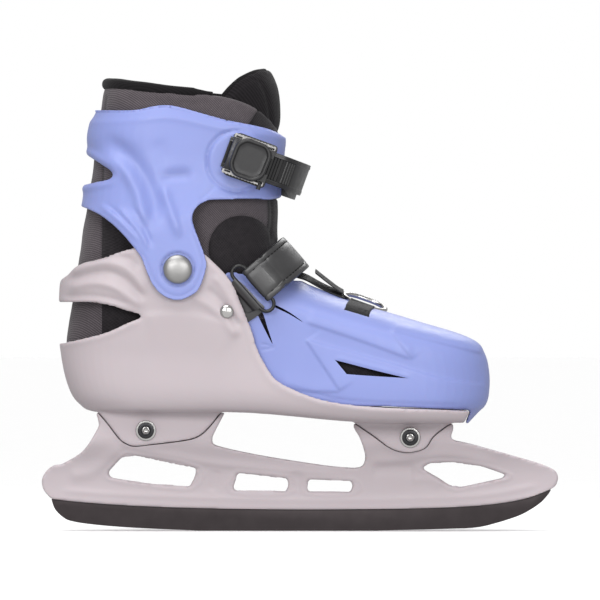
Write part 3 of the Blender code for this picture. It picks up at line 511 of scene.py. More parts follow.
class Nodes:
    """Short way to lay out one material's nodes."""

    def __init__(self, name, roughness=0.5, metallic=0.0):
        self.material = bpy.data.materials.new(name)
        self.material.use_nodes = True
        self.tree = self.material.node_tree
        self.shader = self.tree.nodes["Principled BSDF"]
        self.shader.inputs["Roughness"].default_value = roughness
        self.shader.inputs["Metallic"].default_value = metallic

    def put(self, socket, value):
        if isinstance(value, bpy.types.NodeSocket):
            self.tree.links.new(value, socket)
        else:
            socket.default_value = value

    def add(self, kind, inputs=None, output=0, **settings):
        node = self.tree.nodes.new(kind)
        for key, value in settings.items():
            setattr(node, key, value)
        for key, value in (inputs or {}).items():
            self.put(node.inputs[key], value)
        return node.outputs[output]

    def math(self, operation, a, b=0.0, c=0.0, clamp=False):
        return self.add("ShaderNodeMath", {0: a, 1: b, 2: c}, operation=operation, use_clamp=clamp)

    def place(self, attribute=None):
        """Object coordinates, or a stored attribute where the piece bends."""
        if attribute:
            return self.add("ShaderNodeAttribute", output="Vector", attribute_name=attribute)
        return self.add("ShaderNodeTexCoord", output="Object")

    def painted_crease_shade(self, base, amount, color):
        """Base colour turned towards a darker one in the stored creases, as painted shade."""
        crease_shade = self.add("ShaderNodeAttribute", output="Fac", attribute_name="crease_shade")
        return self.blend(self.math("MULTIPLY", crease_shade, amount, clamp=True), base, color)

    def noise(self, place, scale, detail=3.0, rough=0.5):
        return self.add("ShaderNodeTexNoise", {"Vector": place, "Scale": scale, "Detail": detail,
                                               "Roughness": rough})

    def split(self, place):
        node = self.tree.nodes.new("ShaderNodeSeparateXYZ")
        self.put(node.inputs[0], place)
        return node.outputs

    def blend(self, share, low, high):
        node = self.tree.nodes.new("ShaderNodeMix")
        node.data_type = "RGBA"
        self.put(node.inputs["Factor"], share)
        for key, value in ((6, low), (7, high)):
            self.put(node.inputs[key], (*value, 1.0) if isinstance(value, tuple) else value)
        return node.outputs[2]

    def spread(self, value, low, high, to_low, to_high):
        return self.add("ShaderNodeMapRange", {"Value": value, "From Min": low, "From Max": high,
                                               "To Min": to_low, "To Max": to_high})

    def bump(self, height, depth, strength=1.0, under=None):
        inputs = {"Height": height, "Distance": depth, "Strength": strength}
        if under is not None:
            inputs["Normal"] = under
        return self.add("ShaderNodeBump", inputs)

    def finish(self, **sockets):
        for key, value in sockets.items():
            self.put(self.shader.inputs[key.replace("_", " ")],
                     (*value, 1.0) if isinstance(value, tuple) and len(value) == 3 else value)
        return self.material


def darker(color, share):
    return tuple(c * share for c in color)


def moulded_plastic(name, color, roughness=0.42, grain=1.0):
    """Satin injection moulding: fine spark texture, faint flow shading, shade in its creases."""
    n = Nodes(name, roughness)
    place = n.place()
    cloud = n.noise(place, 22.0, 2.0)
    fine = n.noise(place, 2400.0, 2.0)
    base = n.blend(n.spread(cloud, 0.3, 0.7, 0.0, 1.0), darker(color, 0.96), color)
    # painted shade: darker in the stored creases
    base = n.painted_crease_shade(base, 0.55, darker(color, 0.55))
    scuffs = n.noise(place, 160.0, 5.0, 0.65)
    gloss = n.spread(scuffs, 0.35, 0.75, roughness - 0.05, roughness + 0.09)
    skin_bump = n.bump(fine, 0.00003, 0.35 * grain)
    flow = n.bump(n.noise(place, 45.0, 2.0), 0.0004, 0.12, skin_bump)
    return n.finish(Base_Color=base, Roughness=gloss, Normal=flow, Specular_IOR_Level=0.45,
                    Subsurface_Weight=0.04, Subsurface_Scale=0.004)


def liner_cloth(name, twill, mesh):
    """Twill with dark knitted mesh panels, laid out by the stored rest place of each point."""
    n = Nodes(name, 0.86)
    place = n.place("rest_place")
    x, y, z = n.split(place)
    slope = n.math("ADD", n.math("ADD", x, z), n.math("MULTIPLY", y, 0.6))
    fall = n.math("SUBTRACT", n.math("SUBTRACT", x, z), n.math("MULTIPLY", y, 0.6))
    lines = n.math("SINE", n.math("MULTIPLY", slope, 4300.0))
    cross = n.math("SINE", n.math("MULTIPLY", fall, 2600.0))
    twill_height = n.math("ADD", n.math("MULTIPLY", lines, 0.35), n.math("MULTIPLY", cross, 0.15))
    knit = n.math("MULTIPLY", n.math("SINE", n.math("MULTIPLY", n.math("ADD", x, y), 3300.0)),
                  n.math("SINE", n.math("MULTIPLY", z, 3300.0)))
    # mesh panels: ankle patch, quarter under the cuff (also painted shadow where it shows in the heel slot),
    # vamp, front binding, top front corner
    dx, dz = n.math("SUBTRACT", x, PATCH[0] * MM), n.math("SUBTRACT", z, PATCH[1] * MM)
    reach = n.math("SQRT", n.math("ADD", n.math("MULTIPLY", dx, dx), n.math("MULTIPLY", dz, dz)))
    patch = n.math("LESS_THAN", reach, PATCH_RADIUS * MM)
    quarter_and_slot_shadow = n.math("MULTIPLY", n.math("GREATER_THAN", x, -0.1185), n.math("LESS_THAN", x, -0.066))
    quarter_and_slot_shadow = n.math("MULTIPLY", quarter_and_slot_shadow, n.math("LESS_THAN", z, 0.1985))
    vamp = n.math("MULTIPLY", n.math("LESS_THAN", z, 0.127), n.math("GREATER_THAN", x, -0.075))
    binding = n.math("MULTIPLY", n.math("GREATER_THAN", x, -0.0195), n.math("LESS_THAN", z, 0.206))
    tip = n.math("GREATER_THAN", n.math("SUBTRACT", x, n.math("MULTIPLY", z, 0.667)), -0.1929)
    tip = n.math("MULTIPLY", tip, n.math("GREATER_THAN", z, 0.225))
    dark = n.math("MAXIMUM", n.math("MAXIMUM", patch, quarter_and_slot_shadow), n.math("MAXIMUM", vamp, binding))
    dark = n.math("MAXIMUM", dark, tip)
    wear = n.noise(place, 260.0, 4.0, 0.6)
    thread = n.noise(place, 1500.0, 2.0)
    light = n.blend(n.spread(lines, -1.0, 1.0, 0.0, 1.0), darker(twill, 0.5), darker(twill, 1.35))
    light = n.blend(n.spread(thread, 0.35, 0.7, 0.0, 0.45), light, darker(twill, 0.6))
    deep = n.blend(n.spread(knit, -1.0, 1.0, 0.0, 1.0), darker(mesh, 0.5), darker(mesh, 1.5))
    base = n.blend(dark, light, deep)
    base = n.blend(n.spread(wear, 0.3, 0.75, 0.0, 0.3), base, darker(twill, 0.45))
    # painted shade: darker in the stored creases along seams and grooves
    base = n.painted_crease_shade(base, 0.7, darker(mesh, 0.4))
    height = n.math("ADD", n.math("MULTIPLY", twill_height, n.math("SUBTRACT", 1.0, dark)),
                    n.math("MULTIPLY", n.math("MULTIPLY", knit, 0.6), dark))
    return n.finish(Base_Color=base, Normal=n.bump(height, 0.00025, 0.8), Sheen_Weight=0.15,
                    Sheen_Roughness=0.5, Specular_IOR_Level=0.25)


def padded_cloth(name, color, pitch=1900.0, attribute=None, ribs=0.8):
    """Close ribbed knit, as on rims and tongue panels."""
    n = Nodes(name, 0.88)
    place = n.place(attribute)
    x, y, z = n.split(place)
    across = n.math("ADD", n.math("MULTIPLY", x, 0.55), n.math("ADD", n.math("MULTIPLY", z, 0.83), y))
    lines = n.math("SINE", n.math("MULTIPLY", across, pitch))
    fuzz = n.noise(place, 1400.0, 3.0)
    cloud = n.noise(place, 120.0, 3.0)
    base = n.blend(n.spread(lines, -1.0, 1.0, 0.0, 1.0), darker(color, 0.5), darker(color, 1.4))
    base = n.blend(n.spread(cloud, 0.3, 0.7, 0.0, 0.35), base, darker(color, 0.55))
    height = n.math("ADD", n.math("MULTIPLY", lines, 0.4), n.math("MULTIPLY", fuzz, 0.5))
    return n.finish(Base_Color=base, Normal=n.bump(height, 0.0003, ribs), Sheen_Weight=0.06,
                    Sheen_Roughness=0.5, Specular_IOR_Level=0.2)


def webbing_cloth(name, color):
    """Flat woven nylon: fine lengthwise cords crossed by picks."""
    n = Nodes(name, 0.62)
    place = n.place()
    x, y, z = n.split(place)
    warp = n.math("SINE", n.math("MULTIPLY", y, 5200.0))
    weft = n.math("SINE", n.math("MULTIPLY", n.math("SUBTRACT", n.math("MULTIPLY", x, 1.6), z), 3400.0))
    weave = n.math("MULTIPLY", warp, weft)
    base = n.blend(n.spread(weave, -1.0, 1.0, 0.0, 1.0), darker(color, 0.45), darker(color, 1.7))
    return n.finish(Base_Color=base, Normal=n.bump(weave, 0.0002, 0.7), Specular_IOR_Level=0.35)


def grained_leather(name, color, roughness=0.34):
    """Coated leather with a pebbled grain, rubbed lighter in places."""
    n = Nodes(name, roughness)
    place = n.place()
    cells = n.add("ShaderNodeTexVoronoi", {"Vector": place, "Scale": 900.0}, output="Distance",
                  feature="DISTANCE_TO_EDGE")
    pebble = n.spread(cells, 0.0, 0.25, 0.0, 1.0)
    rub = n.noise(place, 70.0, 4.0, 0.6)
    base = n.blend(n.spread(rub, 0.35, 0.75, 0.0, 1.0), darker(color, 0.8), darker(color, 1.35))
    base = n.blend(n.spread(pebble, 0.0, 1.0, 0.4, 0.0), base, darker(color, 0.5))
    # painted shade: darker in the stored creases along the stitch rows
    base = n.painted_crease_shade(base, 0.8, darker(color, 0.3))
    gloss = n.spread(rub, 0.3, 0.75, roughness - 0.06, roughness + 0.12)
    return n.finish(Base_Color=base, Roughness=gloss, Normal=n.bump(pebble, 0.00005, 0.3),
                    Specular_IOR_Level=0.75, Coat_Weight=0.4, Coat_Roughness=0.42)


def satin_plastic(name, color, roughness=0.4):
    """Black glass-filled nylon of buckles and ratchet straps."""
    n = Nodes(name, roughness)
    place = n.place()
    fine = n.noise(place, 1900.0, 3.0)
    scuff = n.noise(place, 210.0, 5.0, 0.7)
    base = n.blend(n.spread(scuff, 0.45, 0.8, 0.0, 0.5), color, darker(color, 2.0))
    gloss = n.spread(scuff, 0.3, 0.8, roughness - 0.05, roughness + 0.15)
    return n.finish(Base_Color=base, Roughness=gloss, Normal=n.bump(fine, 0.00005, 0.5),
                    Specular_IOR_Level=0.5)


def steel(name, color, roughness=0.25, brushed=None, marks=0.1):
    """Metal with fine handling marks; brushed names the axis along which it was ground."""
    n = Nodes(name, roughness, 1.0)
    place = n.place()
    if brushed:
        stretch = {"x": (40.0, 3000.0, 3000.0), "z": (3000.0, 3000.0, 40.0)}[brushed]
        place = n.add("ShaderNodeMapping", {"Vector": place, "Scale": stretch})
        grain = n.noise(place, 1.0, 3.0, 0.6)
    else:
        grain = n.noise(place, 700.0, 4.0, 0.6)
    cloud = n.noise(n.place(), 90.0, 4.0, 0.6)
    base = n.blend(n.spread(cloud, 0.3, 0.7, 0.0, 1.0), darker(color, 0.85), color)
    gloss = n.spread(grain, 0.3, 0.7, roughness - marks * 0.5, roughness + marks)
    return n.finish(Base_Color=base, Roughness=gloss, Normal=n.bump(grain, 0.00003, 0.4))


PATCH, PATCH_RADIUS = (-34.8, 169.0), 19.8
FINISHES = {}


def finish_named(name):
    """One of the skate's finishes, made on first use."""
    if name not in FINISHES:
        colors = bpy.context.scene.skate_colors
        grey, blue = tuple(colors.shell_grey), tuple(colors.shell_blue)
        twill, mesh, black = tuple(colors.twill), tuple(colors.mesh), tuple(colors.black)
        makers = {
            "shell_grey": lambda: moulded_plastic("shell_grey_moulding", grey, 0.46),
            "shell_blue": lambda: moulded_plastic("shell_blue_moulding", blue, 0.42),
            "blade": lambda: steel("blade_steel", tuple(colors.blade), 0.38, "x", 0.12),
            "bright": lambda: steel("bright_plated_steel", (0.52, 0.51, 0.50), 0.17),
            "satin": lambda: steel("satin_plated_steel", (0.36, 0.355, 0.35), 0.40, None, 0.06),
            "dark_steel": lambda: steel("blackened_steel", (0.045, 0.045, 0.048), 0.32),
            "liner": lambda: liner_cloth("liner_twill_and_mesh", twill, mesh),
            "rim": lambda: padded_cloth("padded_rim_knit", darker(mesh, 0.5), 3600.0, "rest_place", 0.35),
            "tongue": lambda: padded_cloth("ribbed_tongue_knit", darker(mesh, 0.85), 2900.0, "rest_place",
                                           0.6),
            "insole": lambda: padded_cloth("insole_cloth", darker(twill, 0.6), 3000.0),
            "webbing": lambda: webbing_cloth("nylon_webbing", black),
            "leather": lambda: grained_leather("coated_strap_leather", darker(black, 1.5), 0.36),
            "thread": lambda: padded_cloth("stitching_thread", darker(black, 0.5), 5000.0),
            "buckle": lambda: satin_plastic("buckle_black_nylon", black, 0.38),
            "strap": lambda: satin_plastic("ratchet_strap_black", darker(black, 0.85), 0.33),
            "rubber": lambda: satin_plastic("ring_black_coating", darker(black, 0.6), 0.3),
            "nylon": lambda: moulded_plastic("white_nylon_bush", (0.7, 0.69, 0.66), 0.5),
        }
        FINISHES[name] = makers[name]()
    return FINISHES[name]


# ---------------------------------------------------------------- blade and holder

BLADE_EDGE = [(-145, 24.5, 1), (-149.1, 18.7, 1), (-147.0, 13.0), (-142.4, 8.3), (-137.2, 5.8),
              (-123.8, 3.7), (-100.2, 1.8), (-60.0, 0.0, 1), (45.0, 0.0, 1), (87.9, 1.1),
              (104.4, 1.8), (115.6, 4.0), (132.2, 9.4), (143.4, 16.1), (148.8, 21.7),
              (150.5, 24.5, 1), (146.0, 29.5, 1), (121.2, 23.6), (99.0, 21.5), (0.0, 19.7),
              (-100.0, 22.0)]
HOLDER_LINE = [(-122.2, 71.0, 1), (-120.7, 65.0), (-121.5, 61.0), (-130.0, 48.1), (-142.4, 40.3),
               (-147.6, 39.3), (-152.2, 35.7), (-154.8, 30.5), (-153.7, 24.4), (-149.1, 19.1, 1),
               (-131.0, 17.1), (-100.0, 15.0), (-58.8, 13.5), (0.0, 12.7), (65.7, 13.3),
               (99.0, 14.5), (121.2, 16.6), (137.8, 20.0), (150.6, 25.0, 1), (153.4, 27.2),
               (154.8, 31.6), (153.4, 35.5), (148.9, 38.3), (137.8, 42.2), (104.5, 51.6),
               (92.3, 54.4), (90.6, 57.2), (91.8, 60.5), (91.8, 64.0, 1), (91.2, 64.2, 1),
               (32.4, 64.5, 1), (32.4, 61.6), (35.7, 56.0), (38.4, 48.4), (39.0, 42.7),
               (35.7, 38.1), (21.3, 38.5), (0.0, 41.4), (-27.7, 46.0), (-50.4, 51.2),
               (-52.5, 54.3), (-52.0, 57.4), (-45.2, 70.6, 1)]
HOLDER_PROFILE = [(12, 4.4), (24, 5.0), (34, 6.5), (42, 9.5), (48, 13.5), (52, 16.0), (56, 17.0), (72, 17.0)]
REAR_LUG = [(-122.2, 72.4, 1), (-115.5, 64.6), (-108.3, 55.3), (-104.2, 52.3), (-99.0, 50.7),
            (-89.7, 51.7), (-69.0, 54.3), (-60.7, 56.8), (-54.6, 62.0), (-47.3, 71.0, 1),
            (-47.3, 74.0, 1), (-122.2, 74.0, 1)]
FRONT_LUG = [(32.4, 64.8, 1), (43.5, 57.2), (54.6, 49.4), (64.6, 47.0), (74.6, 49.4),
             (80.1, 56.6), (87.9, 62.8, 1), (91.2, 64.6, 1), (91.2, 68.0, 1), (32.4, 68.0, 1)]
WINDOWS = [[(-115.2, 35.0), (-106.4, 44.6), (-98.0, 45.2), (-61.4, 37.6), (-65.4, 26.4), (-90.0, 28.2),
            (-113.6, 31.8)],
           [(-37.8, 34.8), (-6.8, 31.4), (-7.4, 23.6), (-40.8, 24.2)],
           [(4.6, 31.0), (31.8, 29.8), (31.2, 23.2), (3.8, 23.6)],
           [(72.6, 37.6), (77.0, 40.6), (92.0, 41.2), (108.0, 39.0), (123.6, 33.6), (121.6, 31.6),
            (96.6, 26.2), (90.0, 27.0), (80.0, 33.2)]]
SLOT_LINE = [(-156, 10), (-156, 22.5), (-145, 25.0), (-100, 22.6), (0, 20.2), (99, 22.0), (121.2, 24.1),
             (146.5, 30.2), (153, 23), (153, 10)]
SOLE_ROOM = [(-125, 71.0), (-45, 71.0), (-12, 69.7), (2.4, 68.5), (32, 64.4), (92, 64.4), (92, 80),
             (-125, 80)]
HOLDER_RIDGES = [
    ([(-140, 33), (-124, 36), (-112, 46), (-104, 49)], 1.1, 4.0),
    ([(-146, 24.5), (-100, 21.5), (0, 18.5), (99, 20.5), (146, 28)], 0.5, 2.0, 0.04),
    ([(-108, 47.6), (-96, 48.4), (-60, 42.0), (-30, 38.4), (0, 35.4), (34, 33.8)], 0.9, 2.6),
    ([(38, 42), (60, 43), (76, 45.4), (92, 46), (120, 40)], 1.0, 3.2),
    ([(42, 36), (56, 37), (70, 36.6)], -1.2, 4.0),
    ([(66, 30), (76, 31), (86, 27)], 0.7, 2.4),
    ([(-50, 37), (-53, 23)], -0.6, 3.0, 0.2),
    ([(-2, 37), (-2, 23)], -0.6, 3.0, 0.2)]
# lines along the lugs' outlines that get painted shade
HOLDER_CREASE_SHADE = [([(-114, 62), (-107, 53), (-99, 48.8), (-69, 52.2), (-58, 55)], 0.25, 2.0),
                  ([(44, 55), (55, 47.6), (65, 45), (75, 47.6), (82, 56)], 0.25, 2.0)]


def blade():
    half = bpy.context.scene.skate_sizes.blade_thickness / MM / 2
    runner = slab("blade_runner", outline(BLADE_EDGE, 10), -half, half)
    soften(runner, 0.25)
    dress(runner, finish_named("blade"), "base", ["blade"], 30)


def holder():
    body = slab("holder_moulding", outline(HOLDER_LINE, 10), -20, 20)
    profile = reader(HOLDER_PROFILE)
    heights = list(np.arange(12, 72.1, 2.0))
    section = [(float(profile(z)), z) for z in heights] + [(-float(profile(z)), z) for z in heights[::-1]]
    rings = [[(x, y, z) for y, z in section] for x in (-160, 160)]
    cut(body, skin("holder_section", rings), "INTERSECT")
    for i, window in enumerate(WINDOWS):
        cut(body, slab(f"window_{i}", rounded(window, 1.6), -25, 25))
    half = bpy.context.scene.skate_sizes.blade_thickness / MM / 2 + GAP
    cut(body, slab("sole_room", SOLE_ROOM, -25, 25))
    remesh(body, 0.95, 3)
    for key, lug in (("rear", REAR_LUG), ("front", FRONT_LUG)):
        line = grown(outline(lug), GAP + 0.1)
        for side in (-1, 1):
            low, high = sorted((side * (LUG_IN - GAP), side * 22))
            cut(body, slab(f"{key}_room", line, low, high))
        drill(body, BOLT_BORE, -30, 30, in_middle(BOLTS[key]))
    cut(body, slab("blade_slot", SLOT_LINE, -half, half))

    def shape(x, y, z):
        height = ridges(x, z, HOLDER_RIDGES)
        for window in WINDOWS:
            distance, _, _ = from_line(x, z, window + window[:1], 3)
            height = height + 0.45 * np.exp(-((distance - 1.2) / 1.1) ** 2)      # raised window rim
        return height

    # painted shade along the lugs' outlines
    def crease_shade(x, y, z):
        return ridges(x, z, HOLDER_CREASE_SHADE)
    relief(body, shape, reach=(-95.0, 95.0), crease_shade=crease_shade)
    dress(body, finish_named("shell_grey"), "base", ["blade_holder"])


# ---------------------------------------------------------------- base shell

BASE_LINE = [(-150, 148.0, 1), (-143.2, 150.7), (-133.0, 157.6), (-118.5, 163.5), (-105.6, 167.8),
             (-90, 171.5), (-73, 172.5), (-62, 169.5), (-51.0, 160.3), (-44.6, 153.8), (-39.2, 146.3),
             (-36.0, 137.8), (-29.6, 122.2), (-25.6, 109.8), (-19.8, 98.3), (-13.0, 89.8),
             (-2.6, 84.5), (8.9, 80.0), (26.1, 76.4), (49.1, 74.2), (72.0, 73.3), (101.8, 72.1, 1),
             (99.0, 66.4, 1), (97.3, 60, 1), (-150, 60, 1)]
HEEL_SLOT = [(-155, 136.9, 1), (-136.8, 136.9), (-126.0, 137.2), (-113.2, 135.1), (-102.4, 131.6),
             (-94.9, 128.6), (-104.6, 123.8), (-115.3, 119.0), (-131.4, 114.7), (-144.4, 112.3),
             (-155, 111.5, 1)]
SHELL_BACK = [(71.3, -123), (72.8, -128.5), (75.3, -131.5), (79.3, -135.5), (85.3, -138.6),
              (95.3, -141.6), (105.3, -143.4), (115.3, -144.5), (131.3, -144.8), (145.3, -144.4),
              (157.3, -142.4), (175.0, -139)]
SHELL_FRONT = 113.0
SHELF_LINE = [(-96, 128.7), (-85.5, 130.9), (-72, 131.2), (-57, 129.0), (-45, 124.4), (-34, 117.0)]
BASE_FOLDS = [
    ([(-140, 144.0), (-131, 147.3), (-120, 148.3), (-110, 145.6), (-101, 139.6), (-92, 133.4)], 1.5, 2.6),
    ([(-142, 149.0), (-131, 153.6), (-116, 155.4), (-105, 151.2), (-97, 143.6), (-91, 137.4)], -1.2, 2.2),
    ([(-139, 152.6), (-130, 157.6), (-117, 160.6), (-105, 158.2), (-97, 150.8), (-90, 141.0)], 1.35, 2.6),
    ([(-128, 160.6), (-115, 164.6), (-103, 163.6), (-95, 156.5)], -0.75, 2.0),
    ([(-143, 139.8), (-128, 141.2), (-113, 139.4), (-101, 134.6)], -0.75, 1.8),
    ([(-53, 154), (-46, 146), (-39, 134), (-34, 123)], 1.05, 2.2),
    ([(-57, 147), (-49, 140), (-42, 131), (-36, 122)], -0.9, 2.0),
    ([(-66, 141), (-54, 135), (-44, 126), (-36, 115)], 1.35, 3.0)]
SLOT_RIMS = [([(-146, 111.4), (-131, 113.6), (-114, 118.0), (-103, 122.8), (-94, 127.2)], 0.5, 2.0),
             ([(-146, 138.4), (-126, 138.6), (-112, 136.4), (-101, 132.8)], 0.6, 1.5)]


def base_shell():
    outer = [(z, back, SHELL_FRONT) for z, back in SHELL_BACK]
    body = shell_loft("base_moulding", outer, 0.0, dropped=True, fine=82)
    inside = SHELL_FRONT - SHELL_WALL
    inner = [(FLOOR_Z, -126.5, inside)]
    inner += [(z, back + SHELL_WALL, inside) for z, back in SHELL_BACK if z > FLOOR_Z + 1]
    cut(body, shell_loft("base_inside", inner + [(185.0, -136, inside)], SHELL_WALL))
    cut(body, slab("base_line", outline(BASE_LINE), -FAR, FAR), "INTERSECT")
    cut(body, slab("heel_slot", outline(HEEL_SLOT), -FAR, FAR))
    for key, lug in (("rear", REAR_LUG), ("front", FRONT_LUG)):
        for side in (-1, 1):
            low, high = sorted((side * LUG_IN, side * LUG_OUT))
            cut(body, slab(f"{key}_lug", grown(outline(lug), -0.1), low, high), "UNION")
        drill(body, BOLT_BORE, -30, 30, in_middle(BOLTS[key]))
    drill(body, PIVOT_BORE, -FAR, FAR, in_middle(PIVOT))
    drill(body, RIVET_BORE, -FAR, FAR, in_middle(RIVET))
    drill(body, BUTTON_BORE, 20, FAR, in_middle(BUTTON))
    remesh(body, 1.1, 7)

    def shape(x, y, z):
        shelf = ledge(x, z, SHELF_LINE[::-1], 1.0, 1.3, 16.0)
        return ridges(x, z, BASE_FOLDS + SLOT_RIMS + [(base_edge_line(), 0.35, 2.4, 0.05)]) + shelf

    # painted shade in the fold valleys and along the shelf line
    def crease_shade(x, y, z):
        valleys = [(line, 0.35, width) for line, height, width in BASE_FOLDS if height < 0]
        return ridges(x, z, valleys + [(SHELF_LINE, 0.18, 1.2)])
    relief(body, shape, crease_shade=crease_shade)
    dress(body, finish_named("shell_grey"), "base", ["base_shell"])


def base_edge_line():
    """Line a little inside the open edge of the base shell, from the heel round the ear to the toe."""
    return [(x, z - 2.0) if x < -60 else (x - 1.8, z - 1.6) for x, z in (p[:2] for p in BASE_LINE[1:21])]


# ---------------------------------------------------------------- toe shell

TOE_FRONT = [(64, 100.5), (68, 104.2), (71.5, 107.5), (75, 111.2), (81, 113.3), (90, 113.9), (100, 112.9),
             (108, 110.2), (113, 106), (116.5, 99.5), (120, 89.8), (124, 76), (128, 63), (132, 50),
             (136, 36), (140, 24), (144, 14.5), (150, 1), (160, -8)]
TOE_INSIDE = [(PLATE_Z + TOE_WALL, 107.5), (82, 110.6), (90, 111.3), (98, 110.6), (105, 107.8), (110, 103),
              (113.5, 96), (117, 87), (121, 73.5), (125, 60.5), (129, 47.5), (133, 34), (137, 21.5),
              (141, 12), (147, 0), (165, -10.5)]
TOE_LINE = [(-43.9, 154.6), (-25, 152.2), (-0.3, 150.0), (30, 150, 1), (125, 150, 1), (125, 60, 1),
            (97.8, 60, 1), (99.8, 66.3, 1), (102.4, 72.4, 1), (50, PLATE_Z, 1), (-66, PLATE_Z, 1),
            (-66, 108, 1), (-50, 114, 1), (-46, 122), (-45, 140)]
TOE_VENT = [(20.4, 102.9, 1), (27.8, 94.0, 1), (65.1, 91.6, 1), (44.0, 96.6)]
TOE_BACK = -100.0
TOE_SLITS = [[(-14.5, 135.3), (-6.0, 130.9), (2.0, 125.0), (-6.4, 129.9), (-14.8, 134.0)],
             [(-25.6, 131.0), (-21.4, 121.5), (-16.4, 112.1), (-19.4, 121.9), (-22.6, 131.4)]]
TOE_TAB_SLOT = [(26.6, 133.6), (41.6, 129.1), (41.3, 128.1), (26.3, 132.6)]
LOWER_FACET = [(3.1, 115.0), (27.2, 108.1), (54.8, 100.6), (83.5, 92.0), (112.2, 87.4)]
LOWER_FACET_BACK = [(3.1, 115.0), (14.0, 98.8), (24.4, 83.4)]
FOOT_LINE = [(24.4, 83.4), (3.0, 84.0), (-12.0, 87.0)]
MIDDLE_FACET = [(2.0, 125.3), (20.0, 119.4), (45.0, 110.8), (67.4, 102.4)]
UPPER_FACET = [(53.1, 120.1), (80.0, 113.4), (109.8, 105.8)]
UPPER_FACET_BACK = [(53.1, 120.1), (60.0, 111.8), (67.4, 102.4)]
SIDE_DART = [(-24.0, 112.6), (-16.2, 110.4), (-24.0, 108.5)]
TOE_LEDGES = [(LOWER_FACET, -0.75, 0.45, 9.0, 0.05), (LOWER_FACET_BACK, 0.7, 0.45, 8.0, 0.06),
              (FOOT_LINE[::-1], 0.5, 0.5, 6.0, 0.08), (MIDDLE_FACET, 0.7, 0.45, 8.0, 0.08),
              (UPPER_FACET, 0.65, 0.45, 8.0, 0.06), (UPPER_FACET_BACK, 0.45, 0.5, 5.0, 0.10)]
TOE_RIDGES = [(SIDE_DART, -0.4, 0.8, 0.1), ([(20.0, 104.6), (45, 98.2), (67.0, 92.2)], 0.35, 1.3, 0.1),
              ([(-12.0, 88.5), (24.0, 79.0), (60.0, 76.4), (100, 75.4)], -0.3, 1.2, 0.1)]


def toe_shell():
    outer = [(z, TOE_BACK, front) for z, front in TOE_FRONT]
    body = shell_loft("toe_moulding", outer, TOE_INSET, back_round=40, gap=2.0)
    inner = [(z, TOE_BACK + 5, front) for z, front in TOE_INSIDE]
    cut(body, shell_loft("toe_inside", inner, TOE_INSET + TOE_WALL, front_round=60, back_round=40, gap=2.0))
    cut(body, slab("toe_line", outline(TOE_LINE), -FAR, FAR), "INTERSECT")
    travel = bpy.context.scene.skate_sizes.size_travel / MM
    back, front, half = BUTTON[0] - travel - 4, BUTTON[0] + 4, 3.6
    low, high = BUTTON[1] - half, BUTTON[1] + half
    cut(body, slab("size_slot", [(back, low), (front, low), (front, high), (back, high)], 20, FAR))
    remesh(body, 0.9, 5)
    for side in (-1, 1):
        low, high = sorted((side * 18, side * FAR))
        cut(body, slab("toe_vent", outline(TOE_VENT), low, high))
        for slit in TOE_SLITS:
            cut(body, slab("toe_slit", outline(slit, 4), low, high))
    cut(body, slab("tab_slot", TOE_TAB_SLOT, -FAR, -18))

    def shape(x, y, z):
        return sum(ledge(x, z, *row) for row in TOE_LEDGES) + ridges(x, z, TOE_RIDGES)

    # painted shade along the facet lines and the side dart
    def crease_shade(x, y, z):
        lines = [LOWER_FACET, LOWER_FACET_BACK, FOOT_LINE, MIDDLE_FACET, UPPER_FACET, UPPER_FACET_BACK,
                 SIDE_DART]
        return ridges(x, z, [(line, 0.30, 0.7, 0.06) for line in lines])
    relief(body, shape, reach=(-60.0, 70.0), crease_shade=crease_shade)
    dress(body, finish_named("shell_blue"), "toe", ["toe_shell"])


# ---------------------------------------------------------------- cuff

CUFF_LINE = [(-123.7, 252.4, 1), (-104.6, 251.8), (-96.0, 252.4), (-87.6, 254.3), (-78.8, 254.9),
             (-70.3, 253.3), (-59.6, 250.3), (-43.5, 246.0), (-27.4, 242.8), (-16.8, 240.1),
             (-9.7, 236.3), (-5.0, 232.0), (-5.0, 215.0), (-8.0, 203.0), (-15.6, 198.7), (-27.6, 198.7),
             (-48.8, 198.3), (-56.4, 197.2), (-61.8, 193.6), (-64.1, 188.2), (-63.3, 182.8),
             (-60.6, 175.3), (-57.4, 166.6), (-55.8, 158.5), (-59.6, 146.3), (-64.9, 141.0),
             (-72.4, 138.3), (-79.9, 139.9), (-86.4, 145.3), (-90.6, 152.8), (-94.9, 163.5),
             (-100.3, 171.0), (-107.8, 179.6), (-116.4, 187.0), (-123.8, 191.3), (-136, 196.5, 1),
             (-136, 206.5, 1), (-129.6, 207.2), (-120.6, 209.2), (-113.7, 210.7), (-111.7, 213.1),
             (-113.4, 216.7), (-118.8, 220.0), (-123.6, 222.8), (-128, 225.6), (-136, 228, 1),
             (-136, 252.4, 1)]
CUFF_STATIONS = [(130, -143, -10, 51.4), (160, -142, -10, 51.4), (186, -135, -10, 51.2),
                 (196, -131.0, -10.5, 49.0), (207, -129.6, -10.5, 46.2), (217, -128.2, -9.4, 44.9),
                 (227, -127.3, -8.2, 44.4), (235, -128.0, -7.6, 44.4), (243, -126.8, -7.6, 44.5),
                 (250, -124.2, -7.6, 44.7), (260, -123.4, -7.6, 45.0)]
CUFF_BAND = [(-128, 244.6), (-110, 244.8), (-95, 246.0), (-80, 247.2), (-66, 245.2), (-51, 241.6), (-36,
             238.8), (-18, 236.4), (-8, 234.0)]
CUFF_VALLEY = [(-121, 238), (-110, 230.4), (-100.5, 222.4), (-93, 211.9), (-88.5, 201.4), (-86.6,
               190.4), (-87.0, 178.0)]
CUFF_HOLLOW = [(-85.0, 209.4), (-80.0, 212.4), (-73, 213.2), (-62, 213.6)]
CUFF_EAR = [(-97.5, 171.6), (-92.4, 163.2), (-88.2, 152.8), (-84.4, 146.9), (-79.0, 142.4), (-72.4,
            140.8), (-66.2, 143.2), (-61.8, 147.8), (-58.2, 158.6), (-59.8, 166.2), (-63.0, 175.2),
            (-65.6, 183.4)]
CUFF_CORNER = [(-50, 207.8), (-55, 203.0), (-60.4, 198.0)]
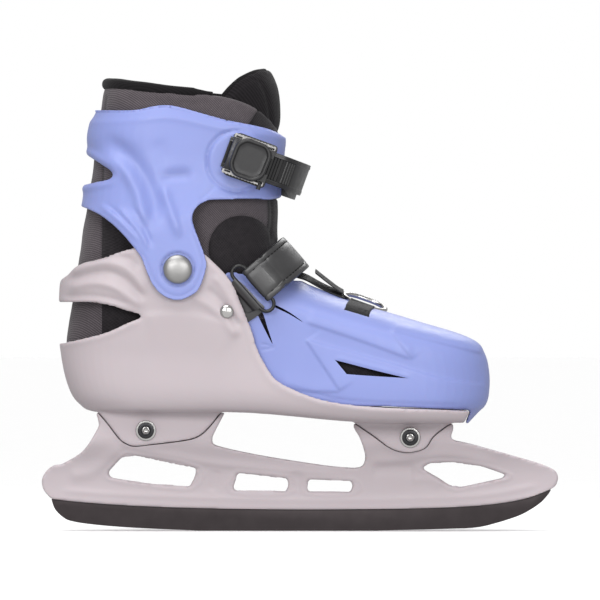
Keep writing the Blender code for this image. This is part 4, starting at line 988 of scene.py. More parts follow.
CUFF_RIDGES = [
    (CUFF_VALLEY, -2.4, 5.0, 0.22),
    ([(-122, 226.0), (-111, 221.5), (-103.5, 214.6), (-97.6, 204.0), (-94.5, 193.0), (-91.5, 181.0)],
     2.4, 3.8, 0.22),
    ([(-83.0, 209.0), (-80.6, 201.4), (-77.0, 191.4), (-73.5, 181.0), (-71, 174)], 1.9, 3.0, 0.25),
    (CUFF_HOLLOW, -1.8, 3.4, 0.35),
    ([(-86, 236), (-82, 224), (-81.6, 213)], -0.5, 4.5, 0.3),
    ([(-122, 196.5), (-112, 189.5), (-102, 180.4), (-93.5, 171.0)], 1.2, 1.9, 0.25),
    ([(-110, 194.5), (-101.5, 185.0), (-94, 175.5), (-90, 167)], 1.2, 1.9, 0.25),
    ([(-118, 197.0), (-107, 188.8), (-98, 178.8), (-91.5, 169.6)], -0.9, 1.5, 0.25),
    ([(-101, 196.0), (-95, 186.0), (-90.5, 176.0), (-87.5, 168.0)], -0.9, 1.5, 0.25),
    ([(-136, 229.6), (-126, 226.9), (-116.6, 221.4), (-110.8, 217.0), (-108.9, 212.6), (-112.4, 208.4),
      (-120.6, 206.6), (-134, 204.4)], 0.9, 2.0, 0.08),
    (CUFF_EAR, -0.45, 0.8, 0.08),
    (CUFF_CORNER, -0.5, 1.4, 0.25)]
# lines of painted shade in the cuff's hollows and grooves
CUFF_CREASE_SHADE = [(CUFF_EAR, 0.35, 0.7, 0.08), (CUFF_HOLLOW, 0.45, 2.4, 0.3), (CUFF_VALLEY, 0.22, 3.4, 0.3),
                (CUFF_CORNER, 0.25, 1.0, 0.25)]
CUFF_OPENING = [(-24, 190), (5, 190), (5, 262), (-24, 262)]
OPENING_HALF = 12.0


def cuff():
    body = leg_loft("cuff_moulding", CUFF_STATIONS)
    boss = [(0, -BOSS_FACE), (BOSS_RADIUS - 1.2, -BOSS_FACE), (BOSS_RADIUS, -BOSS_FACE + 1.2),
            (BOSS_RADIUS, BOSS_FACE - 1.2), (BOSS_RADIUS - 1.2, BOSS_FACE), (0, BOSS_FACE)]
    cut(body, turned("boss", boss, in_middle(BOSS), (0, 1, 0)), "UNION")
    stations = [(120, *CUFF_STATIONS[0][1:])] + CUFF_STATIONS[1:] + [(270, *CUFF_STATIONS[-1][1:])]
    cut(body, leg_loft("cuff_inside", stations, -CUFF_WALL))
    cut(body, slab("cuff_line", outline(CUFF_LINE), -FAR, FAR), "INTERSECT")
    cut(body, slab("cuff_opening", CUFF_OPENING, -OPENING_HALF, OPENING_HALF))
    drill(body, PIVOT_BORE, -FAR, FAR, in_middle(PIVOT))
    remesh(body, 0.95, 6)

    def shape(x, y, z):
        distance, side, _ = from_line(x, z, CUFF_BAND)
        height = -1.5 * smooth(side * distance / 8.0) * (side > 0)           # falls away above the band
        height += ridges(x, z, [(CUFF_BAND, 0.3, 1.8, 0.04)] + CUFF_RIDGES)
        height += -0.9 * ring_mark(x, z, PIVOT, 9.7, 0.9)
        return height - 0.9 * ring_mark(x, z, BOSS, BOSS_RADIUS + 0.8, 1.1) * smooth((-26 - x) / 8)

    # painted shade in the ear groove, hollow, valley and corner, and round the boss and pivot
    def crease_shade(x, y, z):
        boss = 0.35 * ring_mark(x, z, BOSS, BOSS_RADIUS + 0.4, 0.9) * smooth((-30 - x) / 8)
        return ridges(x, z, CUFF_CREASE_SHADE) + boss + 1.2 * ring_mark(x, z, PIVOT, 9.5, 0.8)
    relief(body, shape, crease_shade=crease_shade)
    dress(body, finish_named("shell_blue"), "cuff", ["cuff"])


# ---------------------------------------------------------------- liner

LINER_BACK = [(77.5, -127.5), (82, -131.5), (90, -135.5), (100, -138.6), (112, -140.2),
              (124, -138.8), (136, -136.7), (150, -134.6), (163, -132.6), (178, -130.3),
              (193, -127.8), (209, -125.3), (222, -123.6), (237, -121.4), (250, -119.6), (262, -118.4),
              (270, -114.5), (280, -110)]
LINER_FRONT = [(77.5, 84), (82, 88), (90, 90), (98, 89), (106, 86), (112, 80), (117, 70), (121, 60),
               (126, 43), (131, 28), (136, 17), (141, 5), (146, -3), (150, -6), (158, -5),
               (166, -8.0), (174, -14.0), (186, -14.0), (209, -14.4), (225, -12.4), (250, -12.6),
               (280, -18.0)]
LEG_HALF = [(150, 39.6), (185, 39.6), (198, 40.6), (209, 41.0), (222, 41.2), (237, 41.2), (250, 41.7),
            (262, 42.6), (280, 41.0)]
LINER_INSET, LINER_INSET_LOW = 8.5, 9.6
SOCK_LINE = [(-150, 77.5, 1), (-150, 269.5, 1), (-113.2, 267.6), (-91.8, 264.5), (-70.2, 262.2),
             (-50.0, 260.6), (-38.0, 258.0), (-29.0, 254.4), (-21.0, 249.6), (-15.5, 243.6), (-13.0, 236.0),
             (-13.0, 222.0), (-12.0, 205.0), (-11.0, 196.0), (-11.4, 176.0), (-4.0, 172.0), (10, 160, 1),
             (120, 140, 1), (120, 77.5, 1)]
SOCK_LOW, SOCK_HIGH = 77.5, 278.0
BACK_STRIP = [(-118.5, 150), (-118.3, 200), (-117, 252), (-115, 262)]
FRONT_SEAM = [(-17.0, 174), (-17.4, 198), (-22, 210)]
FRONT_SEAM_INNER = [(-19.6, 174), (-20.0, 198), (-24.6, 210)]
TWILL_END = [(-23.4, 254), (-30.0, 244.2), (-34.0, 238)]
LINER_RIDGES = [(BACK_STRIP, -0.5, 1.1, 0.02), (FRONT_SEAM, -0.6, 0.8, 0.02), (TWILL_END, -0.6, 0.9, 0.02),
                ([(-13.4, 174), (-13.6, 186), (-14.0, 199)], 0.9, 1.8, 0.02),
                ([(-110, 234), (-112, 252), (-104, 262)], 0.5, 5.0),
                ([(-108, 259), (-80, 257.0), (-50, 255.0)], -0.35, 2.0, 0.1)]
# lines of painted shade along the liner's seams
LINER_CREASE_SHADE = [(BACK_STRIP, 0.8, 0.7, 0.02), (FRONT_SEAM, 0.9, 0.6, 0.02),
                 (FRONT_SEAM_INNER, 0.6, 0.5, 0.02), (TWILL_END, 0.8, 0.7, 0.02)]


def sock_rings(thin, thick, low, high, front_move):
    """Sections of the liner from the foot up to the collar, moved inwards."""
    back, front, half = reader(LINER_BACK), reader(LINER_FRONT), reader(LEG_HALF)
    rings = []
    for z in levels(low, high, 2.4):
        inset = thin + (thick - thin) * smooth((z - 110) / 30)
        tall, narrow = smooth((z - 150) / 40), smooth((z - 150) / 35)
        level_inset = LINER_INSET_LOW + (LINER_INSET - LINER_INSET_LOW) * smooth((z - 105) / 30)
        foot = shell_width(z, level_inset + inset)
        b, f = float(back(z)) + inset, float(front(z)) - front_move
        leg = float(half(z)) - inset
        front_round = min(60, f - b - 60) * (1 - tall) + 40 * tall
        rings.append(plan_ring(z, b, f, lambda x: (1 - narrow) * foot(x) + narrow * leg, 48, front_round))
    return rings


def keep_rest_place(obj):
    """Store each point's place at rest, so that the weave follows the cloth when the cuff flexes."""
    points, _ = places(obj)
    rest = obj.data.attributes.new("rest_place", "FLOAT_VECTOR", "POINT")
    rest.data.foreach_set("vector", (points * MM).astype(np.float32).ravel())


def flex(obj):
    """Bake the piece's transform into its mesh."""
    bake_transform(obj)


def liner():
    body = skin("liner_sock", sock_rings(0.0, 0.0, SOCK_LOW, SOCK_HIGH, 0.0))
    cut(body, skin("liner_inside", sock_rings(2.6, 4.4, SOCK_LOW + 3, SOCK_HIGH + 7, 5.0)), solver="MANIFOLD")
    cut(body, slab("sock_line", outline(SOCK_LINE), -FAR, FAR), "INTERSECT", "MANIFOLD")
    for side in (-1, 1):
        drill(body, 11.5, 37.6, FAR, in_middle(PIVOT), (0, side, 0))         # room for the washers
        drill(body, 4.0, 36.2, FAR, in_middle(RIVET), (0, side, 0), 16)
    drill(body, 6.0, 29.5, FAR, in_middle(BUTTON), (0, 1, 0), 16)
    remesh(body, 1.45, 5)
    keep_rest_place(body)

    def shape(x, y, z):
        distance = np.hypot(x - PATCH[0], z - PATCH[1])
        height = 0.7 * smooth((PATCH_RADIUS - distance) / 2.2) * (np.abs(y) > 20)
        height += -0.5 * ring_mark(x, z, PATCH, PATCH_RADIUS + 0.5, 0.9) + ridges(x, z, LINER_RIDGES)
        puff = 0.35 * np.sin(x / 7.3 + z / 11.0) * np.sin(z / 6.1 - y / 15.0)
        return height + puff * (z > 165)

    # painted shade along the seams and round the ankle patch
    def crease_shade(x, y, z):
        return ridges(x, z, LINER_CREASE_SHADE) + 0.6 * ring_mark(x, z, PATCH, PATCH_RADIUS, 0.6)
    relief(body, shape, crease_shade=crease_shade)
    dress(body, finish_named("liner"), None, ["liner_foot", "liner_leg"], 60)
    flex(body)


RIM_HEIGHT = [(-118, 267.0), (-113.2, 266.8), (-100, 265.2), (-80, 262.8), (-60, 261.2), (-46, 260.2),
              (-38, 258.6)]
ROLL_HALF_WIDTH, ROLL_HALF_HEIGHT, ROLL_SIDES = 4.4, 3.7, 20


def power(value, exponent):
    """Power that keeps the sign of the value."""
    return math.copysign(abs(value) ** exponent, value)


def collar():
    """Padded roll along the top of the liner, round the back of the leg."""
    back, half = reader(LINER_BACK), reader(LEG_HALF)
    height = reader(RIM_HEIGHT)
    ring = leg_ring(262, float(back(264)) + 3.4, -12.0, float(half(262)) - 3.0)
    half_way = BACK_STEPS + MIDDLE_STEPS
    path = spread(np.concatenate((ring[half_way:0:-1], ring[:1], ring[:RING_POINTS // 2:-1])), 3)
    path = path[path[:, 0] < -40.0]
    path[:, 2] = height(path[:, 0]) + 1.3
    count = len(path)
    sections = []
    for i, p in enumerate(path):
        direction = Vector(path[min(i + 1, count - 1)] - path[max(i - 1, 0)])
        direction.z = 0
        direction.normalize()
        outward = Vector((direction.y, -direction.x, 0))
        if outward.dot(Vector((p[0] + 60, p[1], 0))) < 0:
            outward.negate()
        end = min(i, count - 1 - i)
        puff = 1 + 0.02 * math.sin(i * 0.5) * smooth(end / 3.0)
        size = puff * (0.35 + 0.65 * smooth((end + 1) / 48.0))
        turns = [2 * math.pi * k / ROLL_SIDES for k in range(ROLL_SIDES)]
        sections.append([Vector(p) + outward * (ROLL_HALF_WIDTH * size * power(math.cos(a), 0.8))
                         + Vector((0, 0, ROLL_HALF_HEIGHT * size * power(math.sin(a), 0.9) - 0.4))
                         for a in turns])
    roll = swept("collar_roll", sections)
    modify(roll, "SUBSURF", levels=1, render_levels=1)
    keep_rest_place(roll)
    dress(roll, finish_named("rim"), "cuff", (), 60)


TONGUE_LINE = [(-50.0, 168, 1), (-20, 160, 1), (-3, 165), (-3, 262), (-12.5, 268), (-16.8, 275),
               (-21.0, 277.2), (-27.6, 275.5), (-34.9, 271.7), (-42.6, 265.3), (-47.0, 259.0), (-50, 252)]
TONGUE_EDGE = [(-46.0, 260.0), (-42.4, 264.2), (-38.5, 268.0), (-34.9, 270.7), (-27.6, 274.2), (-21.4, 275.4)]
TONGUE_SEAMS = [([(-17.0, 240), (-18.2, 252), (-20.4, 262), (-24.5, 270.5)], -0.8, 1.2, 0.05),
                ([(-44, 259.0), (-36.5, 265.6), (-29.5, 270.2), (-25.6, 270.0)], -0.6, 1.0, 0.05)]
TONGUE_THICKNESS, PIPING_RADIUS, PIPING_DEPTH = 5.6, 1.7, 2.4
TONGUE_STATIONS = [(150, -118, -18.5, 34.6), (170, -118, -19.0, 34.6), (200, -118, -19.4, 35.6),
                   (235, -118, -15.2, 36.2), (246, -118, -11.6, 36.3), (256, -118, -11.8, 38.0),
                   (266, -118, -13.2, 39.2), (274, -118, -16.4, 37.4), (282, -118, -19.0, 35.0)]


def swell(obj, pressure, frames, cap):
    """Inflate a padded piece a little with the cloth solver and keep the result."""
    before, _ = places(obj)
    cloth = obj.modifiers.new("Cloth", "CLOTH")
    cloth.settings.use_pressure = True
    cloth.settings.uniform_pressure_force = pressure
    cloth.settings.effector_weights.gravity = 0.0
    cloth.settings.quality = 5
    cloth.settings.tension_stiffness = cloth.settings.compression_stiffness = 25
    scene = bpy.context.scene
    cloth.point_cache.frame_start, cloth.point_cache.frame_end = 1, frames
    for number in range(1, frames + 1):
        scene.frame_set(number)
    pick(obj)
    bpy.ops.object.modifier_apply(modifier=cloth.name)
    scene.frame_set(1)
    after, _ = places(obj)
    step = after - before
    length = np.linalg.norm(step, axis=1)
    step *= np.minimum(1.0, cap / np.maximum(length, 1e-9))[:, None]
    move_points(obj, before + step)


def tongue():
    body = leg_loft("padded_tongue", TONGUE_STATIONS)
    inner = [(140, *TONGUE_STATIONS[0][1:])] + TONGUE_STATIONS[1:-1] + [(292, *TONGUE_STATIONS[-1][1:])]
    cut(body, leg_loft("tongue_inside", inner, -TONGUE_THICKNESS))
    cut(body, slab("tongue_line", outline(TONGUE_LINE), -FAR, FAR), "INTERSECT")
    remesh(body, 2.6, 4)
    swell(body, pressure=1.2, frames=12, cap=1.0)
    modify(body, "SUBSURF", levels=1, render_levels=1)
    keep_rest_place(body)

    def shape(x, y, z):
        ribs = 0.12 * np.sin(z * 2.2 + x * 0.9) * (z > 238) * (x < -19.5)
        return ridges(x, z, TONGUE_SEAMS) + ribs
    relief(body, shape)
    dress(body, finish_named("tongue"), None, ["tongue"], 60)
    flex(body)

    back, front, half = (reader(TONGUE_STATIONS, c) for c in (1, 2, 3))
    for side in (-1, 1):
        path = []
        for x, z in spread(TONGUE_EDGE, 4):
            ring = leg_ring(z, float(back(z)) + PIPING_DEPTH, float(front(z)) - PIPING_DEPTH,
                            float(half(z)) - PIPING_DEPTH)
            forward = ring[ring[:, 1] * side > 0]
            forward = forward[np.argsort(forward[:, 0])]
            path.append((x, np.interp(x, forward[:, 0], forward[:, 1]), z))
        bead = tube(f"tongue_piping_{'outer' if side < 0 else 'inner'}", path, PIPING_RADIUS, 10)
        keep_rest_place(bead)
        dress(bead, finish_named("rim"), "cuff", (), 60)


def insole():
    rings = []
    for z in np.linspace(80.9, 84.4, 4):
        shrink = 0.9 if z > 84 else 0.0
        width = shell_width(z, LINER_INSET_LOW + 3.4 + shrink)
        rings.append(plan_ring(z, -128 + shrink, 80.0 - shrink, width, 48, 58))
    sole = skin("insole_pad", rings)
    points, _ = places(sole)
    arch = np.exp(-((points[:, 0] + 30) / 30) ** 2) * (points[:, 1] > 5) * (points[:, 2] > 84)
    points[:, 2] += 0.9 * arch
    move_points(sole, points)
    dress(sole, finish_named("insole"), "base", ["insole"], 50)


# ---------------------------------------------------------------- straps

def strap_point(u, y, w):
    """Point in the tilted frame of the cuff strap: u forwards, w up across the strap."""
    c, s = math.cos(STRAP_TILT), math.sin(STRAP_TILT)
    return (STRAP_ORIGIN[0] + u * c + w * s, y, STRAP_ORIGIN[1] - u * s + w * c)


STRAP_AXIS = (math.sin(STRAP_TILT), 0.0, math.cos(STRAP_TILT))
TAIL_U, FRONT_U, BEND_U = -15.0, 33.6, 16.0
STRAP_HALF_WIDTH = 9.5
TOOTH_PITCH, TOOTH_HEIGHT, TEETH_END = 1.9, 0.55, 43.0
STRAP_ROWS = [-9.5, -9.3, -8.3, -8.0, -6.9, -6.6, -3.3, 0, 3.3, 6.6, 6.9, 8.0, 8.3, 9.3, 9.5]
PAD_SECTION = [(-9.3, -1.0), (-9.6, -0.6), (-9.3, -0.3), (6.0, -0.3), (6.0, -1.0)]


def strap_lift(size, s):
    """Height of the strap's outer face at a distance from its middle line and s along it."""
    if size > 9.4:
        return 1.5
    if size > 8.1:
        return 1.85
    if size > 6.7:
        return 2.0
    return 1.25 + TOOTH_HEIGHT * (1 - ((s / TOOTH_PITCH) % 1.0)) if s < TEETH_END else 1.72


def strap_slab(name, points, w0, w1):
    rings = [[strap_point(u, y, w) for u, y in points] for w in (w0, w1)]
    return skin(name, rings)


def strap_face(name, points, y0, y1):
    """Outline of (u, w) seen from the side, pushed across from y0 to y1."""
    return skin(name, [[strap_point(u, y, w) for u, w in points] for y in (y0, y1)])


def strap_pin(name, radius, u, y, half):
    """Pin across the strap, with chamfered ends."""
    inner, end = radius - 0.25, half - 0.25
    profile = [(0, -half), (inner, -half), (radius, -end), (radius, end), (inner, half), (0, half)]
    return turned(name, profile, strap_point(u, y, 0), STRAP_AXIS, 24)


def pin_hole(obj, radius, u, y):
    drill(obj, radius, -15, 15, strap_point(u, y, 0), STRAP_AXIS, 20)


def strap_path():
    """Inner face of the ratchet strap: an arc about its hinge, then round the front of the leg."""
    points = []
    for u in np.linspace(TAIL_U, BEND_U, 12):
        points.append((u, STRAP_HINGE_Y - math.sqrt(STRAP_RADIUS**2 - u * u)))
    half = -points[-1][1]
    for k in range(1, 24):
        a = math.pi * k / 24
        points.append((BEND_U + (FRONT_U - BEND_U) * math.sin(a) ** 0.85, -math.cos(a) * half))
    return points + [(BEND_U, half + 0.3), (9.0, half + 1.3), (4.6, STRAP_HINGE_Y - 0.9),
                     (2.2, STRAP_HINGE_Y - 1.0)]


def ratchet_strap():
    inner = spread(strap_path(), 6)
    lengths = np.concatenate(([0], np.cumsum(np.hypot(*np.diff(inner, axis=0).T))))
    even = np.arange(0, lengths[-1], 0.45)
    path = np.stack([np.interp(even, lengths, inner[:, k]) for k in (0, 1)], axis=1)
    tangent = np.gradient(path, axis=0)
    tangent /= np.linalg.norm(tangent, axis=1)[:, None]
    outward = np.stack((tangent[:, 1], -tangent[:, 0]), axis=1)
    sections, under = [], []
    for s, (u, y), (du, dy) in zip(even, path, outward):
        narrow = 1.0 - 0.24 * smooth((s - even[-1] + 11) / 3.0)
        top = [(w * narrow, strap_lift(abs(w), s)) for w in STRAP_ROWS]
        sections.append([strap_point(u + du * lift, y + dy * lift, w) for w, lift in top]
                        + [strap_point(u, y, w * narrow) for w in (9.2, 4.6, 0, -4.6, -9.2)])
        if 22.0 < s < even[-1] - 22.0:
            drop = 3.4 * float(smooth((s - 40.0) / 14.0))
            under.append([strap_point(u + du * lift, y + dy * lift, w - drop) for w, lift in PAD_SECTION])
    strap = swept("ratchet_strap_toothed", sections)
    pad = swept("strap_pad", under)
    barrel = strap_pin("strap_barrel", 2.9, 0, STRAP_HINGE_Y, 7.4)
    pin_hole(barrel, 1.4, 0, STRAP_HINGE_Y)
    strap = join("ratchet_strap_toothed", [barrel, pad, strap])
    dress(strap, finish_named("strap"), "ratchet", ["ratchet_strap"], 35)

    low, high = BOSS_FACE + GAP, BOSS_FACE + 1.2
    bracket = strap_slab("hinge_bracket", [(-9, low), (6, low), (6, high), (-9, high)], -11.4, 11.4)
    ear = [(-3.6, BOSS_FACE + 0.8), (3.6, BOSS_FACE + 0.8), (3.4, STRAP_HINGE_Y), (2.4, STRAP_HINGE_Y + 2.4),
           (0, STRAP_HINGE_Y + 3.2), (-2.4, STRAP_HINGE_Y + 2.4), (-3.4, STRAP_HINGE_Y)]
    for side in (-1, 1):
        low, high = sorted((side * (STRAP_HALF_WIDTH - 1.6), side * 12.0))
        cut(bracket, strap_slab("bracket_ear", ear, low, high), "UNION")
    soften(bracket, 0.3)
    head = [(0, 0), (1.9, 0), (1.7, 0.6), (1.0, 1.0), (0, 1.1)]
    rivets = [turned("bracket_rivet", head, strap_point(-6.4, BOSS_FACE + 1.2, w), (0, 1, 0), 20)
              for w in (-6.5, 6.5)]
    bracket = join("hinge_bracket", rivets + [bracket])
    dress(bracket, finish_named("dark_steel"), "cuff", ["strap_bracket"], 30)


LEVER_PIN, LATCH_PIN = (10.5, -54.2), (-9.5, -53.2)
CHEEK_IN, CHEEK_OUT = 10.2, 11.4
PLATE_LINE = [(-15.2, -7.0), (-12.0, -13.4), (13.6, -13.4), (13.6, 13.4), (-12.0, 13.4), (-15.2, 7.0)]
LEVER_OCTAGON = [(-11.2, -6.4), (-6.6, -12.1), (6.4, -12.1), (11.4, -7.2), (12.0, 6.8), (7.6, 12.1),
                 (-6.2, 12.1), (-11.0, 6.8)]
LEVER_DISH = [(2.6, -57.9), (0.5, -58.0), (0.0, -58.6), (0.0, -60.2), (0.3, -60.9), (0.9, -61.3),
              (1.7, -61.3), (2.3, -60.9), (2.6, -60.2), (3.0, -60.0)]         # inset from the rim, y
LEVER_EAR = [(7.5, -58.8), (13.0, -58.8), (13.2, -53.0), (11.5, -51.4), (9.0, -51.4), (7.5, -53.0)]
PAWL_LINE = [(-13.0, -54.8), (-8.5, -55.4), (-1.0, -52.6), (1.0, -50.2), (-0.6, -50.0), (-6.0, -51.2),
             (-12.0, -51.4), (-13.2, -53.2)]


def buckle():
    face = -BOSS_FACE - GAP
    # frame: black base plate with two plated rails, toothed along their outer edges
    plate = strap_face("buckle_frame", rounded(PLATE_LINE, 2.6), face, face - 0.8)
    side_line = [(-14, face - 0.2), (13, face - 0.2), (12.6, -54.2), (10.5, -56.1), (8.0, -55.6), (2, -54.0),
                 (-7, -54.5), (-11, -55.6), (-14, -54)]
    for side in (-1, 1):
        low, high = sorted((side * CHEEK_IN, side * (CHEEK_OUT - 0.1)))
        cut(plate, strap_slab("cheek", side_line, low, high), "UNION")
    soften(plate, 0.2, 50)
    dress(plate, finish_named("buckle"), "cuff", ["buckle_base"], 30)

    rails = []
    edge = [(-13.5 + k, CHEEK_OUT + (1.3 if k % 2 else 0.8)) for k in range(27)]
    points = [(-13.5, 9.9), (12.5, 9.9)] + edge[::-1]
    for side in (-1, 1):
        rails.append(strap_face("rail", [(u, side * w) for u, w in points], -53.9, -54.9))
        soften(rails[-1], 0.12, 50, 1)
    dress(join("buckle_rails", rails), finish_named("bright"), "cuff", (), 30)

    # lever: dished octagonal pad with a raised rim over two ears
    pad_line = rounded(LEVER_OCTAGON, 3.2, 6)
    rings = [[strap_point(u, y, w) for u, w in grown(pad_line, -inset)] for inset, y in LEVER_DISH]
    middle = [sum(p[k] for p in rings[-1]) / len(rings[-1]) for k in range(3)]
    floor = rings[-1]
    for share in (0.75, 0.5, 0.25, 0.04):
        rings.append([tuple(m + (v - m) * share for v, m in zip(p, middle)) for p in floor])
    lever = skin("buckle_lever_pad", rings)
    ears = []
    for side in (-1, 1):
        low, high = sorted((side * 5.0, side * (CHEEK_IN - GAP)))
        ears.append(strap_slab("lever_ear", LEVER_EAR, low, high))
    lever = join("buckle_lever_pad", ears + [lever])
    pin_hole(lever, 1.3, *LEVER_PIN)
    dress(lever, finish_named("buckle"), "lever", ["buckle_lever"], 32)

    latch = strap_slab("buckle_latch_pawl", PAWL_LINE, -CHEEK_IN + GAP, CHEEK_IN - GAP)
    pin_hole(latch, 1.3, *LATCH_PIN)
    soften(latch, 0.25, 30)
    dress(latch, finish_named("dark_steel"), "latch", ["buckle_latch"], 30)
    for key, (u, y) in (("lever", LEVER_PIN), ("latch", LATCH_PIN)):
        pin = strap_pin(f"{key}_pin_steel", 1.0, u, y, CHEEK_OUT + 0.3)
        dress(pin, finish_named("bright"), "cuff", [f"{key}_pin"], 30)
    pin = strap_pin("hinge_pin_steel", 1.1, 0, STRAP_HINGE_Y, 11.8)
    dress(pin, finish_named("dark_steel"), "cuff", ["strap_hinge_pin"], 30)


INSTEP_START, INSTEP_RISE, INSTEP_ACROSS = (-24.8, 148.1), (0.759, 0.651), (0.660, -0.751)
INSTEP_RING = (-28.1, -47.6, 145.3)
BAND_POWER = 2.4
BAND_ROWS = [(-1.0, 0.25), (-0.985, 0.7), (-0.95, 0.95), (-0.78, 0.98), (-0.71, 0.8), (-0.66, 1.0),
             (-0.4, 1.05), (0, 1.08), (0.4, 1.05), (0.66, 1.0), (0.71, 0.8), (0.78, 0.98), (0.95, 0.95),
             (0.985, 0.7), (1.0, 0.25)]                  # share across the strap, share of its thickness
UNDER_ROWS = [(w, 0.0) for w in (0.98, 0.5, 0, -0.5, -0.98)]
STITCH_ROW, STITCH_PITCH, THREAD_RADIUS = 0.71, 3.0, 0.32
FOLD_STARTS, FOLD_ENDS, FOLD_Y = 8.0, 12.5, -48.2        # where the folded end would start to swing; nothing here swings it
LOOP_ROWS = [(-1, 0.25), (-0.97, 0.9), (-0.85, 1.1), (0, 1.1), (0.85, 1.1), (0.97, 0.9), (1, 0.25),
             (0.9, 0.0), (-0.9, 0.0)]
ANCHOR_LINE = [(-37.5, 150.5), (-42.5, 146.0), (-49.5, 137.0), (-50.0, 126.0), (-40.0, 122.5),
               (-30.6, 125.5), (-21.5, 133.0), (-25.0, 138.0)]
ANCHOR_FACE = [(z, -144, SHELL_FRONT) for z in (100, 115, 131.3, 145.3, 157.3, 175)]
ANCHOR_UNDER = [(z, -142, SHELL_FRONT - 1) for z in (90, 100, 115, 131.3, 145.3, 157.3, 175, 190)]


def on_instep(e, y, w):
    """Point at e up the slope of the instep strap and w across it."""
    return (INSTEP_START[0] + e * INSTEP_RISE[0] + w * INSTEP_ACROSS[0], y,
            INSTEP_START[1] + e * INSTEP_RISE[1] + w * INSTEP_ACROSS[1])


def instep_place(reach, height, angle, w, lift=0.0):
    """Point of the band over the instep at an angle round it and w across it, lifted off it."""
    c, s = math.cos(angle), math.sin(angle)
    y = -(reach + lift) * math.copysign(abs(c) ** (2 / BAND_POWER), c)
    e = (height + lift) * abs(s) ** (2 / BAND_POWER)
    return on_instep(e, y, w)


def band_angles(reach, height, first, last, step):
    """Angles that divide a band into even steps."""
    angles = np.radians(np.linspace(first, last, 600))
    places_on = np.array([instep_place(reach, height, a, 0) for a in angles])
    lengths = np.concatenate(([0], np.cumsum(np.linalg.norm(np.diff(places_on, axis=0), axis=1))))
    return np.interp(np.arange(0, lengths[-1], step), lengths, angles)


def fold_path():
    """The strap's lower end: under the ring's upper bar, round it and out, as (distance up the strap, y)."""
    points = [(10.6, -45.9), (6.0, -46.1), (2.0, -46.2)]
    for k in range(7):
        a = math.pi * k / 6
        points.append((-1.35 * math.sin(a), -47.6 + 1.4 * math.cos(a)))
    return points + [(2.5, -49.2), (5.5, -49.1), (8.0, -48.9)]


def wrapped(path, rows, half):
    """Sections of a strap along a path of (e, y); rows are (share across, lift off the outer side)."""
    sections = []
    for i, (e, y) in enumerate(path):
        step = path[min(i + 1, len(path) - 1)] - path[max(i - 1, 0)]
        step /= np.linalg.norm(step)
        sections.append([on_instep(e + step[1] * lift, y - step[0] * lift, w * half(e)) for w, lift in rows])
    return sections


def leather_band(name, reach, height, thickness, first, last, half, body, node, fold=False):
    """Folded-edge strap: a soft raised middle, sewn margins and rounded edges."""
    angles = band_angles(reach, height, first, last, 1.2)
    rows = [(w, lift * thickness) for w, lift in BAND_ROWS + UNDER_ROWS]
    sections = []
    for i, a in enumerate(angles):
        end = min(i, len(angles) - 1 - i)
        narrow = 1.0 - 0.1 * (1 - smooth(end / 3.0))
        sections.append([instep_place(reach, height, a, w * half * narrow, lift) for w, lift in rows])
    if fold:
        sections = wrapped(spread(fold_path(), 5), rows, lambda e: half) + sections[1:]
    band = swept(name, sections)
    points, _ = places(band)
    across = ((points[:, 0] - INSTEP_START[0]) * INSTEP_ACROSS[0]
              + (points[:, 2] - INSTEP_START[1]) * INSTEP_ACROSS[1])
    # painted shade along the sewn margins, where the stitches sink in
    mark_crease_shade(band, np.exp(-((np.abs(across) - STITCH_ROW * half) / 0.5) ** 2))
    dress(band, finish_named("leather"), body, [node], 50)

    # stitches: short rounded threads along both margins
    marks = band_angles(reach, height, 2.0 if fold else first + 1.5, last - 1.5, STITCH_PITCH)
    threads = []
    for a, b in zip(marks, marks[1:]):
        for side in (-1, 1):
            start, end = a + (b - a) * 0.18, a + (b - a) * 0.82
            rise = 0.75 * (1 - float(smooth(math.degrees(start) / 14))) if fold else 0.0
            line = [instep_place(reach, height, start + (end - start) * t, side * STITCH_ROW * half,
                                 0.8 * thickness + d + rise)
                    for t, d in ((0, -0.15), (0.2, 0.22), (0.8, 0.22), (1, -0.15))]
            threads.append(tube("thread", line, THREAD_RADIUS, 5, up=(0.62, 0.3, 0.7)))
    stitching = join(name + "_stitching", threads)
    dress(stitching, finish_named("thread"), body, (), 60)
    if fold:
        start, end = ([c * MM for c in on_instep(e, FOLD_Y, 0.0)] for e in (FOLD_STARTS, FOLD_ENDS))
        for piece in (band, stitching):
            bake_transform(piece)


def bar_ring(name, centre, along, across, length, width, bar, finish, body, node):
    """Round bar bent into an oblong loop."""
    along, across = Vector(along).normalized(), Vector(across).normalized()
    path = []
    for end in (1, -1):
        for k in range(17):
            a = math.radians(180 * k / 16 - 90 * end)
            out = along * math.cos(a) + across * math.sin(a)
            path.append(Vector(centre) + along * end * (length - width) / 2 + out * width / 2)
    ring = tube(name, path, bar / 2, 14, closed=True, up=tuple(along.cross(across)))
    return dress(ring, finish_named(finish), body, [node], 60)


